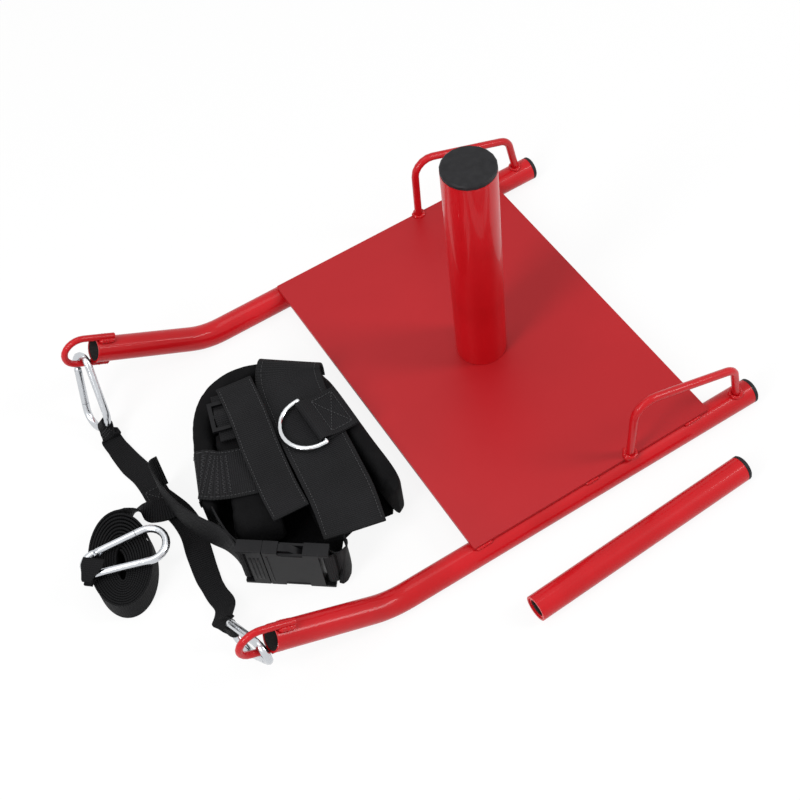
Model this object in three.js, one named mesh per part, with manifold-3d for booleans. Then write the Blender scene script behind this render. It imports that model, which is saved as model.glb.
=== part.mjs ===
// A steel drag sled with its two weight posts, its pull strap and its folded waist harness.
// Millimetres. +X points to the nose of the sled, +Y to its left side and +Z up.
// The origin is on the floor, straight below the main post.
import * as THREE from "three";
import { mergeVertices } from "three/addons/utils/BufferGeometryUtils.js";
import Module from "manifold-3d";

const wasm = await Module();
wasm.setup();

// Clearances shared by all pieces
const seatGap = 0.3;
const cutOverrun = 1;
const weldTolerance = 0.0001;

// Deck plate
const deckLength = 262;
const deckWidth = 374;
const deckThickness = 4;
const deckCornerRadius = 1.5;

// Runner tubes
const runnerDiameter = 25;
const runnerWall = 1.5;
const runnerInset = 3;
const runnerTailLength = 51;
const runnerFrontRun = 70;
const noseBendRadius = 70;
const noseAngle = THREE.MathUtils.degToRad(30);
const noseLength = 107;

// Push-in end caps of the tubes
const capHeadThickness = 4;
const capRimBevel = 1.2;
const capSkirtDepth = 14;
const capSkirtWall = 1.6;
const capRibHeight = 0.5;
const capRibWidth = 1.6;

// Tow eyes of bent rod at the nose
const eyeRodDiameter = 6.6;
const eyeLegOverlap = 18;
const eyeReach = 14;

// Lifting handles of bent rod
const handleRodDiameter = 8;
const handleFrontFromRear = 89;
const handleRearBeyond = 35;
const handleFrontLean = 2;
const handleRearLean = 8;
const handleFrontHeight = 108;
const handleRearHeight = 69;
const handleBendRadius = 17;
const handleOutset = 1;

// Weight posts and the stud that carries them
const mainPostDiameter = 50;
const mainPostWall = 2;
const mainPostLength = 243;
const studDiameter = 16;
const studLength = 28;
const studChamfer = 1.5;
const bushBoreClearance = 0.3;
const mainBushThickness = 12;
const mainBushRecess = 0.5;
const sparePostDiameter = 25;
const sparePostWall = 2;
const sparePostLength = 236;
const spareBushLength = 18;
const spareBushRecess = 1;
const sparePostClear = 66.3;
const sparePostForward = -2.8;
const sparePostYaw = THREE.MathUtils.degToRad(2.7);

// Snap hooks
const hookLength = 85;
const hookRod = 7.4;
const hookBigRadius = 17;
const hookSmallRadius = 10.6;
const gateLength = 37;
const gateOffset = 6;
const gateTipGap = 0.5;
const tongueThickness = 2.4;
const tongueRadius = 3.1;
const gateSlotPlay = 0.3;
const hingePinDiameter = 2.4;
const hingePinPlay = 0.3;
const hookEyePlay = 0.8;
// The tow hooks: how far along the eye they hang, where they point and where their gates are
const leftHookAlong = 3;
const leftHookHang = new THREE.Vector3(6.5, -36.2, -33.8);
const leftHookGate = new THREE.Vector3(-5.6, 33.6, -36.6);
const rightHookAlong = 8.4;
const rightHookHang = new THREE.Vector3(9.5, 26, -41.5);
const rightHookGate = new THREE.Vector3(17.2, -45.2, -12.6);
const leadHookPlace = new THREE.Vector3(293.5, 6, 0);
const leadHookHeading = new THREE.Vector3(-49, 9.8, 0);

// Pull strap webbing
const strapWidth = 25;
const strapThickness = 1.6;
const plyGap = 0.5;
const loopSlack = 2.8;
const loopLeaveAngle = THREE.MathUtils.degToRad(35);
const loopNarrowing = 12.5;
const loopRun = 12;
const leadLoopNarrowing = 17;
const leadLoopLeaveAngle = THREE.MathUtils.degToRad(60);
const leadLoopRun = 11.5;
const leadPatchRun = 24;
const leadPatchNarrowing = 4;
const patchSpreadShare = 1.5;
const rollShownTurn = 8;
// Stations of the strap legs from hook to junction, x counted from the deck's front edge here and in
// all tables below: x, y, lift off the floor, narrowing, upright share
const rightLegStations = [
  [223, -130, 5, 9, 0.4],
  [221.5, -116, 0.9, 3, 0],
  [218, -93, 0, 0, 0],
  [213.8, -76, 0.2, 0, 0],
  [212.5, -60, 1.4, 0, 0],
  [212.5, -46, 2.1, 0, 0],
  [211, -28, 2.1, 0, 0],
];
const leftLegStations = [
  [212, 100, 10.5, 7, 0.45],
  [212.5, 80, 2, 6, 0.1],
  [211.5, 60, 0, 2, 0],
  [206.6, 31, 0, 0, 0],
  [202, 8, 0, 0, 0],
  [203, -16, 0, 0, 0],
  [209, -36, 0, 0, 0],
  [212.5, -46, 0, 0, 0],
];
// Stations of the lead from the junction to the roll: x, y, lift off the stack, upright share
const leadStations = [
  [203, -25, 0.3, 0],
  [215, -27, 0.3, 0],
  [225, -31, 1.6, 0],
  [235, -36.5, 5.6, 0.5],
];

// Rolled lead, wound up on edge
const rollHalfWidth = 30;
const rollHalfLength = 51;
const rollTurns = 11;
const rollStepsPerTurn = 24;
const rollPitchAcross = 2.35;
const rollPitchAlong = 3.2;
const rollDriftPerTurn = 0.7;
const rollPlace = new THREE.Vector3(271, 9, 0);
const rollHeading = THREE.MathUtils.degToRad(71.6);

// Harness webbing and pads
const webThickness = 1.8;
const beltWidth = 48;
const waistPadHeight = 48;
const waistPadThickness = 20;
const waistPadEdge = 7;
const padEdge = 4;
const rightPadWidth = 55;
const leftPadWidth = 48;
const foldedPadThickness = 20;
const foldedPadRadius = 12.5;
const padDrawIn = 3;
const padTaper = 6;
const padEndRows = 2;
const padRunSteps = 6;
const padFoldSteps = 8;
const chestBandWidth = 60;
const crossBandWidth = 36;
const sideTabWidth = 54;
const sliderStrapWidth = 38;
const ringTabWidth = 50;
const ringTabRun = 37;

// Stations of the waist pad's middle line on the floor
const waistPadStations = [
  [179, 26],
  [174.5, 8],
  [168.5, -10],
  [161, -29],
  [151.5, -52],
  [141, -73],
  [126, -89],
  [112, -95.5],
  [98, -97.5],
  [81.5, -95],
  [66.4, -88],
  [51.7, -78],
  [41, -68.5],
  [31, -58],
  [27, -45],
  [26, -30],
  [26, -10],
  [26.5, 20],
  [27, 50],
  [27, 75],
  [29, 92],
  [34, 103],
];
// Open end and fold of the two folded pads
const rightPadStations = [
  [67, -38],
  [75, 71],
];
const leftPadStations = [
  [119, -43],
  [147, 46.5],
];
// Stations of the bands: x, y, the drop below their own level and the widening
const chestBandStations = [
  [49, -66.5, 0, 4],
  [55, -48, 0, 4],
  [60, -20, 0, 2],
  [65, 15, 0, 0],
  [69.5, 52, 0, 0],
];
const chestBandEndStations = [
  [74, 85, 0, 0],
  [82.5, 121.5, 0, -2],
];
// Where bands turn down over the waist pad: the place on its middle line, the heading and the drop
const bandFoldPlace = new THREE.Vector3(45.5, -72.5, 0);
const bandFoldHeading = new THREE.Vector3(-32, -38.5, 0);
const bandFoldDrop = 16;
const bandFoldWidening = 3;
const tabFoldPlace = new THREE.Vector3(168.3, -10.5, 0);
const tabFoldHeading = new THREE.Vector3(30, -11, 0);
const tabFoldDrop = 5;
const foldPlay = 0.9;
const crossBandStations = [
  [100, -80, 0, 0],
  [102, -64, 0, 0],
  [106, -36, 0, 0],
];
const crossBandEndStations = [
  [112, -4, -4, 0],
  [115.5, 20, 0.5, 0],
  [119, 46, 0.5, 0],
  [121, 72, 0.5, 0],
];
const sideTabStations = [
  [162, -4, 0],
  [150, 1, 2.4],
  [138, 5.5, 3],
  [121, 12, 3],
];
// Stations of the belt's loose tail, of its end on the waist pad and of its short right end: x, y
const beltTailStations = [
  [180.5, 60],
  [184.5, 47],
  [191.5, 35],
  [198.5, 20],
  [204.5, 2],
  [208, -18],
  [209, -38],
  [206, -50],
  [198, -51],
];
const beltPadStations = [
  [179.5, 60],
  [180, 44],
  [179.3, 27.6],
];
const beltRightStations = [
  [105.5, 134.5],
  [97, 127],
  [91, 112],
  [87, 96],
];

// Harness ring
const ringRod = 5;
const ringRadius = 28;
const ringSide = 3;
const ringTilt = THREE.MathUtils.degToRad(3);
const ringPlace = new THREE.Vector3(58.2, 0, 0);

// Three-bar slider
const sliderLength = 48;
const sliderWidth = 34;
const sliderThickness = 3;
const sliderBar = 4;
const sliderWave = 3.3;
const sliderStrapRun = 27;
const sliderPlace = new THREE.Vector3(114, -53.5, 0);
const sliderYaw = THREE.MathUtils.degToRad(74);

// Side-release buckle, standing on its long edge
const buckleWidth = 60;
const buckleThickness = 13;
const maleLength = 23.5;
const femaleLength = 60;
const buckleWall = 2.4;
const buckleBevel = 1.2;
const cheekWidth = 3.6;
const barRadius = 2.2;
const barInset = 2.8;
const barWindow = 9;
const prongThickness = 7;
const prongArmWidth = 5;
const prongArmPlace = 20;
const prongHeadLength = 20;
const prongReach = 37;
const prongPlay = 0.4;
const windowLength = 23;
const windowFromMouth = 14;
const guideWidth = 8;
const guideLength = 34;
const notchDepth = 3;
const bucklePlace = new THREE.Vector3(147, 105, 0);
const buckleHeading = new THREE.Vector3(-0.791, 0.611, 0);
const beltLeaveAngle = THREE.MathUtils.degToRad(50);
const beltSettle = 0.8;
const leftRunShare = 3;
const rightRunShare = 2.6;

// Colours taken from the finishes
const redPaint = 0xb5151c;
const deckPaint = 0xa82a2e;
const capPlastic = 0x2e2e30;
const zinc = 0xc9ccd0;
const blackWebbing = 0x17171a;
const blackPad = 0x1b1b1e;
const bucklePlastic = 0x242427;
const bushSteel = 0x8a2226;

// Values that follow from the sizes above
const runnerRadius = runnerDiameter / 2;
const runnerGauge = deckWidth - 2 * runnerInset;
const frontEdge = deckLength / 2;
const deckUnderside = runnerDiameter + seatGap;
const deckTop = deckUnderside + deckThickness;
const noseTangent = noseBendRadius * Math.tan(noseAngle / 2);
const bendStart = frontEdge + runnerFrontRun;
const noseDirection = new THREE.Vector3(Math.cos(noseAngle), 0, Math.sin(noseAngle));
const noseUp = new THREE.Vector3(-Math.sin(noseAngle), 0, Math.cos(noseAngle));
const bendVertex = new THREE.Vector3(bendStart + noseTangent, 0, runnerRadius);
const mouthCentre = bendVertex.clone().addScaledVector(noseDirection, noseTangent + noseLength);
const eyeLegOffset = runnerRadius + eyeRodDiameter / 2 + seatGap;
const UP = new THREE.Vector3(0, 0, 1);
const FORWARD = new THREE.Vector3(1, 0, 0);
const LEFT = new THREE.Vector3(0, 1, 0);
const mainPostBottom = deckTop + seatGap;
const mainPostTop = mainPostBottom + mainPostLength;

const sled = new THREE.Group();

// Booleans
function solidOf(geometry) {
  const bare = geometry.index ? geometry.toNonIndexed() : geometry.clone();
  bare.deleteAttribute("normal");
  bare.deleteAttribute("uv");
  const merged = mergeVertices(bare, weldTolerance);
  return new wasm.Manifold(
    new wasm.Mesh({
      numProp: 3,
      vertProperties: new Float32Array(merged.attributes.position.array),
      triVerts: new Uint32Array(merged.index.array),
    }),
  );
}

function geometryOf(solid) {
  const mesh = solid.getMesh();
  const geometry = new THREE.BufferGeometry();
  geometry.setAttribute("position", new THREE.BufferAttribute(new Float32Array(mesh.vertProperties), 3));
  geometry.setIndex(new THREE.BufferAttribute(new Uint32Array(mesh.triVerts), 1));
  geometry.computeVertexNormals();
  return geometry;
}

function join(first, ...others) {
  return geometryOf(others.reduce((solid, piece) => solid.add(solidOf(piece)), solidOf(first)));
}

function cut(body, ...tools) {
  return geometryOf(tools.reduce((solid, tool) => solid.subtract(solidOf(tool)), solidOf(body)));
}

// Places a geometry made round the origin
function placed(geometry, x, y, z) {
  return geometry.clone().translate(x, y, z);
}

function addPiece(parent, name, geometry, colour, roughness, metalness) {
  const material = new THREE.MeshStandardMaterial({ color: colour, roughness, metalness });
  const mesh = new THREE.Mesh(geometry, material);
  mesh.name = name;
  parent.add(mesh);
  return mesh;
}

const paint = (parent, name, geometry) => addPiece(parent, name, geometry, redPaint, 0.35, 0.1);
const plastic = (parent, name, geometry) => addPiece(parent, name, geometry, capPlastic, 0.55, 0);
const metal = (parent, name, geometry) => addPiece(parent, name, geometry, zinc, 0.25, 0.9);
const webbing = (parent, name, geometry) => addPiece(parent, name, geometry, blackWebbing, 0.9, 0);
const padding = (parent, name, geometry) => addPiece(parent, name, geometry, blackPad, 0.95, 0);
const moulding = (parent, name, geometry) => addPiece(parent, name, geometry, bucklePlastic, 0.4, 0);

// A route given by its stations, with a chosen direction for the section's own x axis at each one
class Route extends THREE.Curve {
  constructor(points, faces = null, faceShares = null, widthShares = null) {
    super();
    this.points = points;
    this.faces = faces;
    this.faceShares = faceShares;
    this.widthShares = widthShares;
  }

  getPoint(t, target = new THREE.Vector3()) {
    const place = t * (this.points.length - 1);
    const index = Math.min(Math.floor(place), this.points.length - 2);
    return target.lerpVectors(this.points[index], this.points[index + 1], place - index);
  }

  getUtoTmapping(u) {
    return u;
  }

  computeFrenetFrames(steps) {
    if (!this.faces) {
      return super.computeFrenetFrames(steps, false);
    }
    const tangents = [];
    const normals = [];
    const binormals = [];
    for (let i = 0; i <= steps; i++) {
      const tangent = this.getTangent(i / steps);
      const face = this.faces[i].clone().addScaledVector(tangent, -this.faces[i].dot(tangent)).normalize();
      const across = tangent.clone().cross(face);
      tangents.push(tangent);
      normals.push(face.multiplyScalar(this.faceShares ? this.faceShares[i] : 1));
      binormals.push(across.multiplyScalar(this.widthShares ? this.widthShares[i] : 1));
    }
    return { tangents, normals, binormals };
  }
}

function sweep(shape, route) {
  return new THREE.ExtrudeGeometry(shape, {
    steps: route.points.length - 1,
    extrudePath: route,
    bevelEnabled: false,
  });
}

function ringPoints(radius, sides) {
  return Array.from({ length: sides }, (_, i) => {
    const angle = (i / sides) * Math.PI * 2;
    return new THREE.Vector2(radius * Math.cos(angle), radius * Math.sin(angle));
  });
}

function roundShape(radius, sides, boreRadius = 0) {
  const shape = new THREE.Shape(ringPoints(radius, sides));
  if (boreRadius > 0) {
    shape.holes.push(new THREE.Path(ringPoints(boreRadius, sides).reverse()));
  }
  return shape;
}

// A rectangle of the given thickness along x and width along y, its corners cut by an edge radius
function bandShape(thickness, width, edge = 0) {
  const x = thickness / 2;
  const y = width / 2;
  if (edge === 0) {
    return new THREE.Shape([[-x, -y], [x, -y], [x, y], [-x, y]].map((p) => new THREE.Vector2(...p)));
  }
  const shape = new THREE.Shape();
  shape.moveTo(-x + edge, -y);
  shape.lineTo(x - edge, -y);
  shape.absarc(x - edge, -y + edge, edge, -Math.PI / 2, 0);
  shape.absarc(x - edge, y - edge, edge, 0, Math.PI / 2);
  shape.absarc(-x + edge, y - edge, edge, Math.PI / 2, Math.PI);
  shape.absarc(-x + edge, -y + edge, edge, Math.PI, Math.PI * 1.5);
  const points = shape.extractPoints(1).shape;
  return new THREE.Shape(points);
}

// The stations of a polyline whose corners are rounded by an arc of the given radius
function roundedPolyline(corners, radius, arcSteps) {
  const stations = [corners[0].clone()];
  for (let i = 1; i < corners.length - 1; i++) {
    const back = corners[i - 1].clone().sub(corners[i]).normalize();
    const ahead = corners[i + 1].clone().sub(corners[i]).normalize();
    const half = Math.acos(back.dot(ahead)) / 2;
    const reach = radius / Math.tan(half);
    const centre = corners[i].clone().add(
      back.clone().add(ahead).normalize().multiplyScalar(radius / Math.sin(half)),
    );
    const start = corners[i].clone().addScaledVector(back, reach).sub(centre);
    const end = corners[i].clone().addScaledVector(ahead, reach).sub(centre);
    const axis = start.clone().cross(end).normalize();
    const sweepAngle = Math.PI - 2 * half;
    for (let k = 0; k <= arcSteps; k++) {
      stations.push(start.clone().applyAxisAngle(axis, (sweepAngle * k) / arcSteps).add(centre));
    }
  }
  stations.push(corners[corners.length - 1].clone());
  return stations;
}

// The stations of an arc round a centre, from one radius vector, about an axis
function arcStations(centre, radiusVector, axis, angle, steps) {
  return Array.from({ length: steps + 1 }, (_, k) =>
    radiusVector.clone().applyAxisAngle(axis, (angle * k) / steps).add(centre),
  );
}

// A round bar or ring standing on z = 0 along +Z
function bar(radius, height, sides = 16, boreRadius = 0) {
  return new THREE.ExtrudeGeometry(roundShape(radius, sides, boreRadius), {
    depth: height,
    bevelEnabled: false,
  });
}

function block(x0, x1, y0, y1, z0, z1) {
  return placed(
    new THREE.BoxGeometry(x1 - x0, y1 - y0, z1 - z0),
    (x0 + x1) / 2,
    (y0 + y1) / 2,
    (z0 + z1) / 2,
  );
}

// Deck plate
{
  const shape = new THREE.Shape();
  const x = deckLength / 2;
  const y = deckWidth / 2;
  const r = deckCornerRadius;
  shape.moveTo(-x + r, -y);
  shape.absarc(x - r, -y + r, r, -Math.PI / 2, 0);
  shape.absarc(x - r, y - r, r, 0, Math.PI / 2);
  shape.absarc(-x + r, y - r, r, Math.PI / 2, Math.PI);
  shape.absarc(-x + r, -y + r, r, Math.PI, Math.PI * 1.5);
  const plate = new THREE.ExtrudeGeometry(shape, {
    depth: deckThickness,
    bevelEnabled: false,
    curveSegments: 3,
  });
  addPiece(sled, "deck_plate", placed(plate, 0, 0, deckUnderside), deckPaint, 0.5, 0.1);
}

// A push-in plug whose head sits on the tube's end face, made along +Z with the head at z = 0 and up
function endCap(tubeDiameter, tubeWall) {
  const head = tubeDiameter / 2;
  const skirt = tubeDiameter / 2 - tubeWall - capRibHeight - seatGap;
  const inner = skirt - capSkirtWall;
  const rib = skirt + capRibHeight;
  const ribStart = -capSkirtDepth / 2;
  const profile = [
    [0, 0],
    [inner, 0],
    [inner, -capSkirtDepth],
    [skirt, -capSkirtDepth],
    [skirt, ribStart - capRibWidth],
    [rib, ribStart],
    [skirt, ribStart + capRibWidth],
    [skirt, 0],
    [head, 0],
    [head, capHeadThickness - capRimBevel],
    [head - capRimBevel, capHeadThickness],
    [0, capHeadThickness],
  ].map(([r, z]) => new THREE.Vector2(r, z));
  return new THREE.LatheGeometry(profile, 20).rotateX(Math.PI / 2);
}

// Runners, tow eyes and handles, one set on each side
for (const [side, sign] of [["left", 1], ["right", -1]]) {
  const rail = new THREE.Group();
  rail.position.y = (sign * runnerGauge) / 2;
  sled.add(rail);

  const tail = new THREE.Vector3(-deckLength / 2 - runnerTailLength, 0, runnerRadius);
  const runnerRoute = new Route(roundedPolyline([tail, bendVertex, mouthCentre], noseBendRadius, 6));
  const tubeShape = roundShape(runnerRadius, 20, runnerRadius - runnerWall);
  paint(rail, `runner_${side}`, sweep(tubeShape, runnerRoute));

  const cap = plastic(rail, `runner_cap_${side}`, endCap(runnerDiameter, runnerWall));
  cap.rotation.y = -Math.PI / 2;
  cap.position.set(tail.x - seatGap, 0, runnerRadius);

  const bow = mouthCentre.clone().addScaledVector(noseDirection, eyeReach);
  const lowStart = mouthCentre
    .clone()
    .addScaledVector(noseDirection, -eyeLegOverlap)
    .addScaledVector(noseUp, -eyeLegOffset);
  const topEnd = lowStart.clone().addScaledVector(noseUp, 2 * eyeLegOffset);
  const bowArc = arcStations(bow, noseUp.clone().multiplyScalar(-eyeLegOffset), LEFT, -Math.PI, 12);
  const eyeRoute = new Route([lowStart, ...bowArc, topEnd]);
  paint(rail, `tow_eye_${side}`, sweep(roundShape(eyeRodDiameter / 2, 10), eyeRoute));

  const rearSlope = Math.atan2(handleRearLean, handleRearHeight - runnerDiameter);
  const frontFoot = deckTop + 2 * seatGap;
  const rearFoot = runnerDiameter + seatGap + (handleRodDiameter / 2) * Math.sin(rearSlope);
  const handleFrontFoot = -frontEdge + handleFrontFromRear;
  const handleRearFoot = -frontEdge - handleRearBeyond;
  const handleRoute = new Route(
    roundedPolyline(
      [
        new THREE.Vector3(handleFrontFoot, 0, frontFoot),
        new THREE.Vector3(handleFrontFoot - handleFrontLean, 0, handleFrontHeight),
        new THREE.Vector3(handleRearFoot + handleRearLean, 0, handleRearHeight),
        new THREE.Vector3(handleRearFoot, 0, rearFoot),
      ],
      handleBendRadius,
      5,
    ),
  );
  const handle = paint(rail, `handle_${side}`, sweep(roundShape(handleRodDiameter / 2, 10), handleRoute));
  handle.position.y = sign * handleOutset;
}

// Stud welded to the deck
{
  const radius = studDiameter / 2;
  const profile = [
    [0, 0],
    [radius, 0],
    [radius, studLength - studChamfer],
    [radius - studChamfer, studLength],
    [0, studLength],
  ].map(([r, z]) => new THREE.Vector2(r, z));
  const stud = paint(sled, "post_stud", new THREE.LatheGeometry(profile, 16).rotateX(Math.PI / 2));
  stud.position.z = deckTop + seatGap;
}

// Main post
const studBoreRadius = studDiameter / 2 + bushBoreClearance;
{
  const radius = mainPostDiameter / 2;
  const tube = paint(sled, "main_post_tube", bar(radius, mainPostLength, 32, radius - mainPostWall));
  tube.position.z = mainPostBottom;
  const bushRadius = radius - mainPostWall - seatGap;
  const bushGeometry = bar(bushRadius, mainBushThickness, 24, studBoreRadius);
  const bush = addPiece(sled, "main_post_bush", bushGeometry, bushSteel, 0.5, 0.3);
  bush.position.z = mainPostBottom + mainBushRecess;
  const cap = plastic(sled, "main_post_cap", endCap(mainPostDiameter, mainPostWall));
  cap.position.z = mainPostTop + seatGap;
}

// Spare post, lying on the floor beside the left runner
{
  const spare = new THREE.Group();
  spare.position.set(sparePostForward, deckWidth / 2 + sparePostClear, sparePostDiameter / 2);
  spare.rotation.z = sparePostYaw;
  sled.add(spare);
  const radius = sparePostDiameter / 2;
  const along = (geometry) => geometry.rotateY(-Math.PI / 2);
  const tubeGeometry = along(bar(radius, sparePostLength, 20, radius - sparePostWall));
  const tube = paint(spare, "spare_post_tube", tubeGeometry);
  tube.position.x = sparePostLength / 2;
  const bushRadius = radius - sparePostWall - seatGap;
  const bushGeometry = along(bar(bushRadius, spareBushLength, 20, studBoreRadius));
  const bush = addPiece(spare, "spare_post_bush", bushGeometry, bushSteel, 0.5, 0.3);
  bush.position.x = sparePostLength / 2 - spareBushRecess;
  const cap = plastic(spare, "spare_post_cap", along(endCap(sparePostDiameter, sparePostWall)));
  cap.position.x = -sparePostLength / 2 - seatGap;
}

// Snap hook in its own plane: +X from the small end's centre to the big end's, the gate on the +Y side
const rodRadius = hookRod / 2;
const hookCentres = hookLength - hookRod - hookBigRadius - hookSmallRadius;
const flankAngle = Math.asin((hookBigRadius - hookSmallRadius) / hookCentres);
const gateDirection = new THREE.Vector3(Math.cos(flankAngle), Math.sin(flankAngle), 0);
const gateNormal = new THREE.Vector3(-Math.sin(flankAngle), Math.cos(flankAngle), 0);
const gatePivot = gateNormal
  .clone()
  .multiplyScalar(hookSmallRadius)
  .addScaledVector(gateDirection, gateOffset);

function addHook(parent, name, position, xAxis, yAxis) {
  const hook = new THREE.Group();
  const x = xAxis.clone().normalize();
  const z = x.clone().cross(yAxis).normalize();
  const y = z.clone().cross(x);
  hook.setRotationFromMatrix(new THREE.Matrix4().makeBasis(x, y, z));
  hook.position.copy(position);
  parent.add(hook);

  // The rod starts at the nose, runs round the big end and the small end and stops at the hinge
  const bigCentre = new THREE.Vector3(hookCentres, 0, 0);
  const spineNormal = new THREE.Vector3(gateNormal.x, -gateNormal.y, 0);
  const nose = gatePivot.clone().addScaledVector(gateDirection, gateLength + gateTipGap);
  const bigStart = gateNormal.clone().multiplyScalar(hookBigRadius);
  const smallStart = spineNormal.clone().multiplyScalar(hookSmallRadius);
  const bigArc = arcStations(bigCentre, bigStart, UP, -Math.PI - 2 * flankAngle, 14);
  const smallArc = arcStations(new THREE.Vector3(), smallStart, UP, -Math.PI + 2 * flankAngle, 9);
  const shoulder = gatePivot.clone().addScaledVector(gateDirection, -rodRadius - seatGap);
  const wire = sweep(roundShape(rodRadius, 10), new Route([nose, ...bigArc, ...smallArc, shoulder]));
  const turned = (geometry) => geometry.clone().rotateZ(flankAngle).translate(gatePivot.x, gatePivot.y, 0);
  const halfTongue = tongueThickness / 2;
  const tongue = placed(bar(tongueRadius, tongueThickness, 14), 0, 0, -halfTongue);
  const neck = block(-gateOffset, 0, -tongueRadius, tongueRadius, -halfTongue, halfTongue);
  const pinHole = placed(bar((hingePinDiameter + hingePinPlay) / 2, hookRod, 12), 0, 0, -rodRadius);
  metal(hook, `${name}_frame`, cut(join(wire, turned(tongue), turned(neck)), turned(pinHole)));

  const shaft = bar(rodRadius, gateLength, 12).rotateY(Math.PI / 2);
  const heel = new THREE.SphereGeometry(rodRadius, 12, 8).rotateY(Math.PI / 2);
  const slotReach = tongueRadius + 2 * gateSlotPlay;
  const slotHalf = halfTongue + gateSlotPlay;
  const slotFar = rodRadius + cutOverrun;
  const slot = block(-slotFar, slotReach, -slotFar, slotFar, -slotHalf, slotHalf);
  const gate = cut(join(shaft, heel), slot, pinHole);
  metal(hook, `${name}_gate`, turned(gate));
  const pinHalf = rodRadius - seatGap;
  const pin = placed(bar(hingePinDiameter / 2, 2 * pinHalf, 12), 0, 0, -pinHalf);
  metal(hook, `${name}_pin`, turned(pin));
  return hook;
}

const v = (x, y, z) => new THREE.Vector3(x, y, z);
const row = (at, face, wide = 0, thick = 0) => ({ at, face, wide, thick });
const fromFront = (place) => place.clone().setX(frontEdge + place.x);
const station = (x, y, z) => v(frontEdge + x, y, z);

// A strip through its rows; wide and thick are millimetres added to the section's own size
function strip(rows, width, thickness, edge = 0) {
  const points = rows.map((r) => r.at);
  const faces = rows.map((r) => r.face.clone().normalize());
  const faceShares = rows.map((r) => (thickness + r.thick) / thickness);
  const widthShares = rows.map((r) => (width + r.wide) / width);
  return sweep(bandShape(thickness, width, edge), new Route(points, faces, faceShares, widthShares));
}

// More rows between the given ones, on a smooth curve through them
function smoothed(rows, perSpan) {
  const curve = new THREE.CatmullRomCurve3(rows.map((r) => r.at), false, "centripetal");
  const steps = (rows.length - 1) * perSpan;
  return Array.from({ length: steps + 1 }, (_, i) => {
    const index = Math.min(Math.floor(i / perSpan), rows.length - 2);
    const share = i / perSpan - index;
    const [a, b] = [rows[index], rows[index + 1]];
    return row(
      curve.getPoint(i / steps),
      a.face.clone().lerp(b.face, share).normalize(),
      THREE.MathUtils.lerp(a.wide, b.wide, share),
      THREE.MathUtils.lerp(a.thick, b.thick, share),
    );
  });
}

// The rows of a webbing end round a rod: in along one ply, round the far side and out along the other.
// The run has to be longer than the neck, which is twice the reach
function loopRows(rod, leave, normal, thickness, reach, run, slack = 0, wide = 0) {
  const half = (thickness + plyGap) / 2;
  const at = (along, across) => rod.clone().addScaledVector(leave, along).addScaledVector(normal, across);
  const back = normal.clone().negate();
  const rows = [row(at(run, -half), back, wide), row(at(2 * reach, -half), back, wide)];
  const steps = 6;
  for (let k = 0; k <= steps; k++) {
    const angle = -Math.PI / 2 - (Math.PI * k) / steps;
    const out = leave.clone().multiplyScalar(Math.cos(angle)).addScaledVector(normal, Math.sin(angle));
    const beyond = slack * Math.cos(angle);
    rows.push(row(rod.clone().addScaledVector(out, reach).addScaledVector(leave, beyond), out, wide));
  }
  rows.push(row(at(2 * reach, half), normal.clone(), wide), row(at(run, half), normal.clone(), wide));
  return rows;
}

// The two hooks in the tow eyes, and the strap legs from them to the junction
const loopReach = rodRadius + seatGap + strapThickness / 2;
const strapLoop = (rod, leave, normal, run, narrowing) =>
  loopRows(rod, leave, normal, strapThickness, loopReach, run, loopSlack, -narrowing);
const tipped = (face, upright) => face.clone().multiplyScalar(upright).addScaledVector(UP, 1 - upright);
const floorPly = seatGap + strapThickness / 2;
const plyPitch = strapThickness + seatGap;
const towHooks = [
  ["left", 1, leftHookAlong, leftHookHang, leftHookGate, leftLegStations],
  ["right", -1, rightHookAlong, rightHookHang, rightHookGate, rightLegStations],
];
for (const [side, sign, along, hang, gate, stations] of towHooks) {
  const wire = mouthCentre
    .clone()
    .addScaledVector(noseDirection, along)
    .addScaledVector(noseUp, -eyeLegOffset)
    .setY((sign * runnerGauge) / 2);
  const down = hang.clone().normalize();
  const gateSide = gate.clone().addScaledVector(down, -gate.dot(down)).normalize();
  const planeNormal = down.clone().cross(gateSide);
  planeNormal.multiplyScalar(Math.sign(planeNormal.x));
  const inset = hookSmallRadius - rodRadius - eyeRodDiameter / 2 - hookEyePlay;
  const smallCentre = wire.clone().addScaledVector(down, inset);
  addHook(sled, `hook_${side}`, smallCentre, down, gateSide);

  const leave = down
    .clone()
    .multiplyScalar(Math.cos(loopLeaveAngle))
    .addScaledVector(gateSide, -Math.sin(loopLeaveAngle));
  const bigCentre = smallCentre.clone().addScaledVector(down, hookCentres);
  const rod = bigCentre.addScaledVector(leave, hookBigRadius);
  const loop = strapLoop(rod, leave, planeNormal, loopRun, loopNarrowing);
  const last = loop[loop.length - 1];
  const leg = stations.map(([x, y, lift, narrow, upright]) =>
    row(station(x, y, floorPly + lift), tipped(last.face, upright), -narrow),
  );
  const joined = [last, ...leg];
  const rows = [...loop, ...smoothed(joined, 4).slice(1)];
  webbing(sled, `strap_leg_${side}`, strip(rows, strapWidth, strapThickness));
}

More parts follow.
